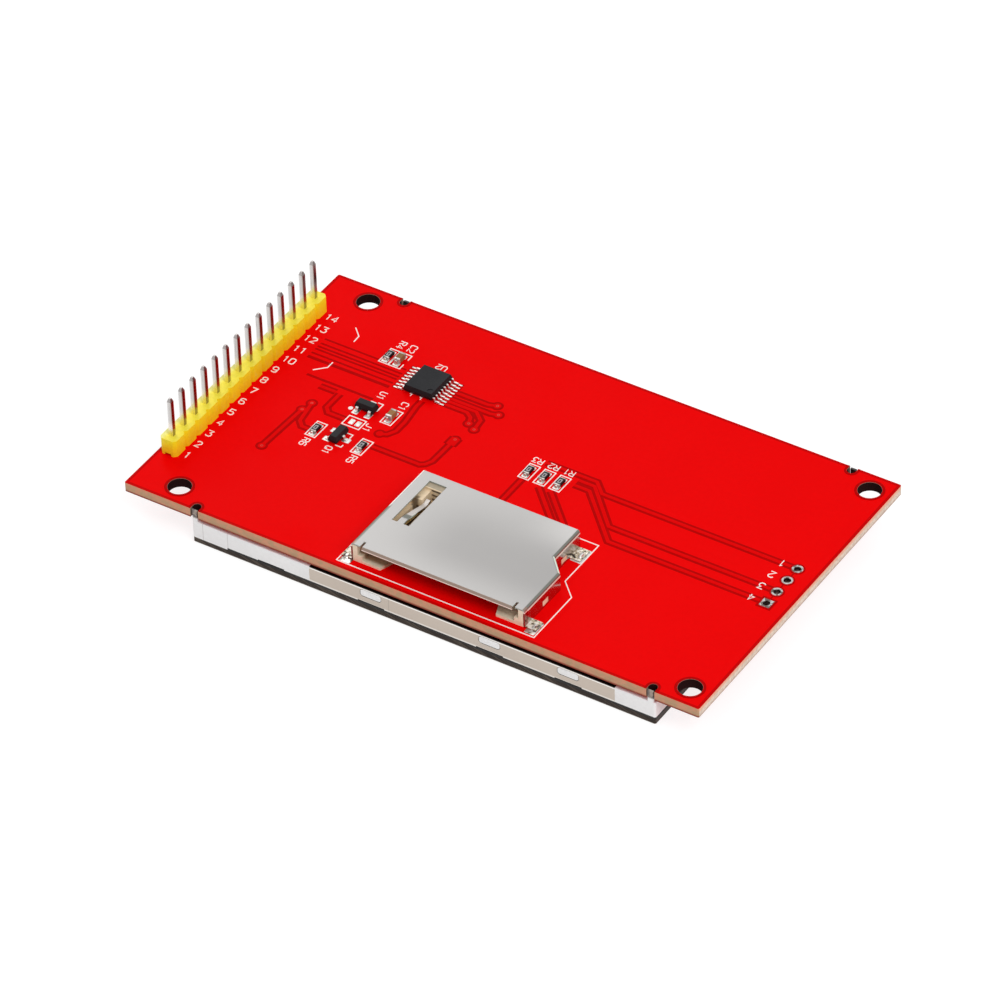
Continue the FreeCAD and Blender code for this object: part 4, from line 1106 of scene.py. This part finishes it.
def cover_sheet(settings):
    """Satin sheet with a black back of painted shade, a painted highlight along its bend and another along
    its lower edge.
    """
    n = Finish("cover steel", Metallic=1.0)
    x, _, z = n.spot()
    tilt = n.tilt()[2]
    lines, cloud = n.rolled()
    bottom = in_board("steel_cover")[0][2]
    smudge_and_reflection = shaded(settings.cover, 0.9)
    tone = n.mix(n.step(cloud, 0.3, 0.7), smudge_and_reflection, settings.cover)
    tone = n.mix(n.smudges(0.6), tone, smudge_and_reflection)
    # painted highlights: a bright line along the lower edge and another on the bend
    edge = n.step(z, bottom + 0.3, bottom + 0.1)
    bend = n.times(n.step(tilt, 0.05, 0.12), n.step(tilt, 0.62, 0.55))
    tone = n.mix(n.most(n.times(edge, 0.55), n.times(bend, 0.8)), tone, settings.cover_line)
    tone = n.mix(n.inside(x, 40.3, 0.05, 0.03), tone, (0.2, 0.17, 0.15), 0.35)
    # painted shade: the upward faces of the back, under the board, are near black
    tone = n.mix(n.step(tilt, 0.55, 0.62), tone, settings.cover_back)
    return n.done(lines, 0.002, Base_Color=tone, Roughness=n.between(lines, 0.28, 0.42))


def moulded_frame(settings):
    """White moulding with two seams, and pegs that are grey with painted shade where they rise into the
    board's notches, darkest at the far edge.
    """
    n = Finish("moulded frame")
    x, y, z = n.spot()
    white, height = n.grain(2500.0, settings.frame_white, 0.95)
    seam = n.most(n.inside(x, 12.0, 0.05, 0.03), n.inside(x, 15.8, 0.05, 0.03))
    tone = n.mix(seam, white, (0.3, 0.25, 0.24), 0.4)
    # painted shade on the pegs above the board's underside, darkest at the far edge
    notch_shade = n.mix(n.step(n.noise(n.place, 2200.0), 0.4, 0.6), (0.34, 0.27, 0.22), (0.12, 0.10, 0.095))
    notch_shade = n.mix(n.step(y, WIDTH / 2 - 1, WIDTH / 2 + 1), notch_shade, (0.022, 0.014, 0.012))
    tone = n.mix(n.step(z, -THICK - 0.1, -THICK + 0.3), tone, notch_shade)
    return n.done(height, 0.01, Base_Color=tone, Roughness=n.between(height, 0.4, 0.55))


def tail_film():
    """Amber film over copper lines that run along the board's length."""
    n = Finish("tail film")
    y = n.spot()[1]
    lines = n.step(n.math("SINE", n.times(n.minus(y, WIDTH / 2), 2 * math.pi / 0.6)), -0.2, 0.2)
    cloud = n.noise(n.place, 300.0)
    amber = n.mix(cloud, (0.50, 0.20, 0.03), (0.68, 0.32, 0.07))
    tone = n.mix(lines, amber, (0.72, 0.42, 0.12), 0.5)
    return n.done(lines, 0.01, Base_Color=tone, Roughness=n.between(cloud, 0.26, 0.38))


def glass_edge(settings):
    """Touch glass seen at its cut edge: dark, with slanting lighter streaks."""
    n = Finish("touch glass", Specular_IOR_Level=0.12)
    x, y, z = n.parts(n.place)
    lean = n.plus(x, n.times(z, 2.5))
    across = n("ShaderNodeCombineXYZ", {0: n.times(lean, 1500.0), 1: n.times(y, 1500.0)})
    streak = n.step(n.noise(across, 1.0, 3.0, 0.6), 0.48, 0.62)
    tone = n.mix(streak, settings.glass, (0.15, 0.12, 0.095), 0.45)
    return n.done(Base_Color=tone, Roughness=n.between(streak, 0.3, 0.5))


def screen_face(settings):
    """The touch film: a black border round the dark picture on the front, and a dark cut edge."""
    n = Finish("touch film", Specular_IOR_Level=0.3)
    x, y, z = n.spot()
    bottom = in_board("touch_film")[0][2]
    low, high = in_board("light_guide")
    half = settings.screen_long / 2 / MM, settings.screen_short / 2 / MM
    picture = n.window(x, y, ((low + high) / 2)[:2], half, 0.06)
    side = n.math("LESS_THAN", n.math("ABSOLUTE", n.tilt()[2]), 0.5)
    screen = n.mix(n.noise(n.place, 35.0), settings.screen, shaded(settings.screen, 1.25))
    face = n.mix(picture, settings.border, screen)
    cut = n.mix(n.step(z, bottom + 0.12, bottom + 0.04), settings.glass, settings.film_edge)
    gloss = n.between(side, n.between(n.smudges(), 0.12, 0.22), 0.6)
    return n.done(n.noise(n.place, 2600.0, 1.0), 0.0015, Base_Color=n.mix(side, face, cut), Roughness=gloss)


def finish_display(settings):
    """The display's frame, cover, tapes, glass, films, lamps and tails."""
    dress(moulded_frame(settings), "backlight_frame")
    dress(cover_sheet(settings), "steel_cover")
    dress(glass_edge(settings), "touch_glass")
    dress(screen_face(settings), "touch_film")
    dress(tail_film(), "led_flex", "display_flex", "touch_flex")
    # name, colour, roughness, grain, shade, depth of the grain and, for the cell, spread of the gloss
    for nodes, *values in (
        (["touch_gasket"], "gasket foam", settings.gasket, 0.8, 3500.0, 0.6, 0.03),
        (["mounting_tape_1", "mounting_tape_2"], "foam tape", settings.tape, 0.8, 2500.0, 0.85, 0.05),
        (["array_glass", "filter_glass"], "cell glass", (0.10, 0.11, 0.12), 0.12, 400.0, 0.9, 0.001, 0.04),
        (["rear_polariser", "front_polariser"], "polariser", (0.05, 0.055, 0.06), 0.2, 800.0, 0.9, 0.001),
        (["reflector_sheet", "diffuser_sheet", "prism_sheet"], "optical film", (0.82, 0.84, 0.85), 0.4,
         2000.0, 0.96, 0.002),
        (["light_guide"], "light guide", (0.86, 0.88, 0.88), 0.15, 1500.0, 0.97, 0.002),
        ([f"led_{i}" for i in range(1, 5)], "lamp", (0.90, 0.86, 0.52), 0.35),
        (["driver_chip"], "driver silicon", (0.06, 0.06, 0.07), 0.2, 3000.0, 0.9, 0.001),
    ):
        dress(plain_finish(*values), *nodes)


# Studio


def set_studio(settings):
    """Pale floor, soft light from above and the right, and the camera of the photograph."""
    scene = bpy.context.scene
    scene.view_settings.view_transform = "Standard"
    mesh = bpy.data.meshes.new("studio_floor")
    corners = [(x * FLOOR_HALF, y * FLOOR_HALF, 0) for x, y in box_path(-1, -1, 1, 1)]
    mesh.from_pydata(corners, [], [(0, 1, 2, 3)])
    mesh.materials.append(floor_paper(settings))
    floor = bpy.data.objects.new("studio_floor", mesh)
    scene.collection.objects.link(floor)
    floor.location.z = CAD_LOW.z - 0.0001
    scene.world = studio_world(settings)
    lamp("key_lamp", settings.key, 0.6, (0.75, -0.35, 0.95))
    lamp("fill_lamp", settings.fill, 0.8, (-0.7, 0.5, 1.0))
    scene.camera = photograph_camera(settings)


def light_path(n):
    """1 for rays from the camera, off gloss and through glass."""
    rays = n("ShaderNodeLightPath").node.outputs
    return n.most(rays["Is Camera Ray"], rays["Is Glossy Ray"], rays["Is Transmission Ray"])


def floor_paper(settings):
    """White paper: a seen ray meets mostly its own glow, so that its shadow is kept but stays faint."""
    n = Finish("studio paper", Roughness=0.9, Specular_IOR_Level=0.0, Emission_Color=(1, 1, 1))
    seen = light_path(n)
    paper = n.grain(200.0, settings.floor, 0.995)[0]
    return n.done(Base_Color=n.mix(seen, paper, (0.30, 0.30, 0.30)), Emission_Strength=n.times(seen, 0.80))


def studio_world(settings):
    """Even white surroundings: seen at full white, and lighting the object at the dome's strength."""
    world = bpy.data.worlds.new("studio")
    world.use_nodes = True
    world.node_tree.nodes.clear()
    n = Nodes(world.node_tree)
    strength = n.between(light_path(n), settings.dome, 1.0)
    background = n("ShaderNodeBackground", {"Color": (1, 1, 1), "Strength": strength})
    n.wire(n.tree.nodes.new("ShaderNodeOutputWorld").inputs["Surface"], background)
    return world


def lamp(name, power, size, place):
    """A square area lamp that looks at the module."""
    data = bpy.data.lights.new(name, "AREA")
    data.energy, data.size = power, size
    light = bpy.data.objects.new(name, data)
    light.location = place
    light.rotation_euler = (-Vector(place)).to_track_quat("-Z", "Y").to_euler()
    bpy.context.scene.collection.objects.link(light)


def photograph_camera(settings):
    """The camera that was solved from the board's corners."""
    data = bpy.data.cameras.new("photograph")
    data.lens, data.sensor_width = settings.lens, 36.0
    data.clip_start, data.clip_end = 0.01, 20.0
    place, target = Vector((0.38891, -0.58582, 0.59100)), Vector((0.0004, -0.0035, 0.00529))
    ahead = (target - place).normalized()
    up = (Vector((0, 0, 1)) - ahead * ahead.z).normalized()
    up = up * math.cos(settings.roll) + ahead.cross(up) * math.sin(settings.roll)
    right = ahead.cross(up)
    camera = bpy.data.objects.new("photograph", data)
    axes = Matrix((right, up, -ahead)).transposed().to_4x4()
    camera.matrix_world = Matrix.Translation(place) @ axes
    bpy.context.scene.collection.objects.link(camera)
    return camera


# Add-on


class MODULE_OT_studio(Operator):
    """Lay the floor, hang the lamps and set the camera"""
    bl_idname = "module.set_studio"
    bl_label = "Set the studio"

    def execute(self, context):
        set_studio(context.scene.module_studio)
        return {"FINISHED"}


class MODULE_OT_board(Operator):
    """Give the circuit board its lacquer, cut edge and hole walls"""
    bl_idname = "module.finish_board"
    bl_label = "Lacquer the board"

    def execute(self, context):
        dress(lacquer(context.scene.module_board), "circuit_board")
        return {"FINISHED"}


class MODULE_OT_tracks(Operator):
    """Lay the tracks, the gaps beside them and the covered vias"""
    bl_idname = "module.lay_tracks"
    bl_label = "Lay the tracks"

    def execute(self, context):
        lay_tracks(context.scene.module_board)
        return {"FINISHED"}


class MODULE_OT_markings(Operator):
    """Print the white outlines, numbers and letters"""
    bl_idname = "module.print_markings"
    bl_label = "Print the markings"

    def execute(self, context):
        print_markings(context.scene.module_board)
        return {"FINISHED"}


class MODULE_OT_solder(Operator):
    """Lay the solder lands, joints and plated holes"""
    bl_idname = "module.solder_parts"
    bl_label = "Solder the parts"

    def execute(self, context):
        solder_parts(context.scene.module_parts)
        return {"FINISHED"}


class MODULE_OT_connector(Operator):
    """Finish the pin connector"""
    bl_idname = "module.finish_connector"
    bl_label = "Finish the connector"

    def execute(self, context):
        finish_connector(context.scene.module_parts)
        return {"FINISHED"}


class MODULE_OT_socket(Operator):
    """Finish the card socket"""
    bl_idname = "module.finish_socket"
    bl_label = "Finish the card socket"

    def execute(self, context):
        finish_socket(context.scene.module_parts)
        return {"FINISHED"}


class MODULE_OT_small_parts(Operator):
    """Finish the packages and chip parts"""
    bl_idname = "module.finish_small_parts"
    bl_label = "Finish the small parts"

    def execute(self, context):
        finish_small_parts(context.scene.module_parts)
        return {"FINISHED"}


class MODULE_OT_display(Operator):
    """Finish the display and its touch panel"""
    bl_idname = "module.finish_display"
    bl_label = "Finish the display"

    def execute(self, context):
        finish_display(context.scene.module_display)
        return {"FINISHED"}


OPERATORS = [
    MODULE_OT_studio, MODULE_OT_board, MODULE_OT_tracks, MODULE_OT_markings, MODULE_OT_solder,
    MODULE_OT_connector, MODULE_OT_socket, MODULE_OT_small_parts, MODULE_OT_display,
]


class MODULE_PT_panel(Panel):
    """The module's steps and settings"""
    bl_label = "Display module"
    bl_space_type = "VIEW_3D"
    bl_region_type = "UI"
    bl_category = "Module"

    def draw(self, context):
        for operator in OPERATORS:
            self.layout.operator(operator.bl_idname)
        for name, group in SETTINGS.items():
            box = self.layout.box()
            for prop in group.__annotations__:
                box.prop(getattr(context.scene, name), prop)


def register():
    """Adds the classes, and the settings to the scene."""
    for kind in [*SETTINGS.values(), *OPERATORS, MODULE_PT_panel]:
        bpy.utils.register_class(kind)
    for name, group in SETTINGS.items():
        setattr(bpy.types.Scene, name, PointerProperty(type=group))


def unregister():
    """Takes the settings and the classes away again."""
    for name in SETTINGS:
        delattr(bpy.types.Scene, name)
    for kind in reversed([*SETTINGS.values(), *OPERATORS, MODULE_PT_panel]):
        bpy.utils.unregister_class(kind)


def main():
    """Runs every step in order."""
    register()
    for operator in OPERATORS:
        group, step = operator.bl_idname.split(".")
        getattr(getattr(bpy.ops, group), step)()


if __name__ == "__main__":
    main()
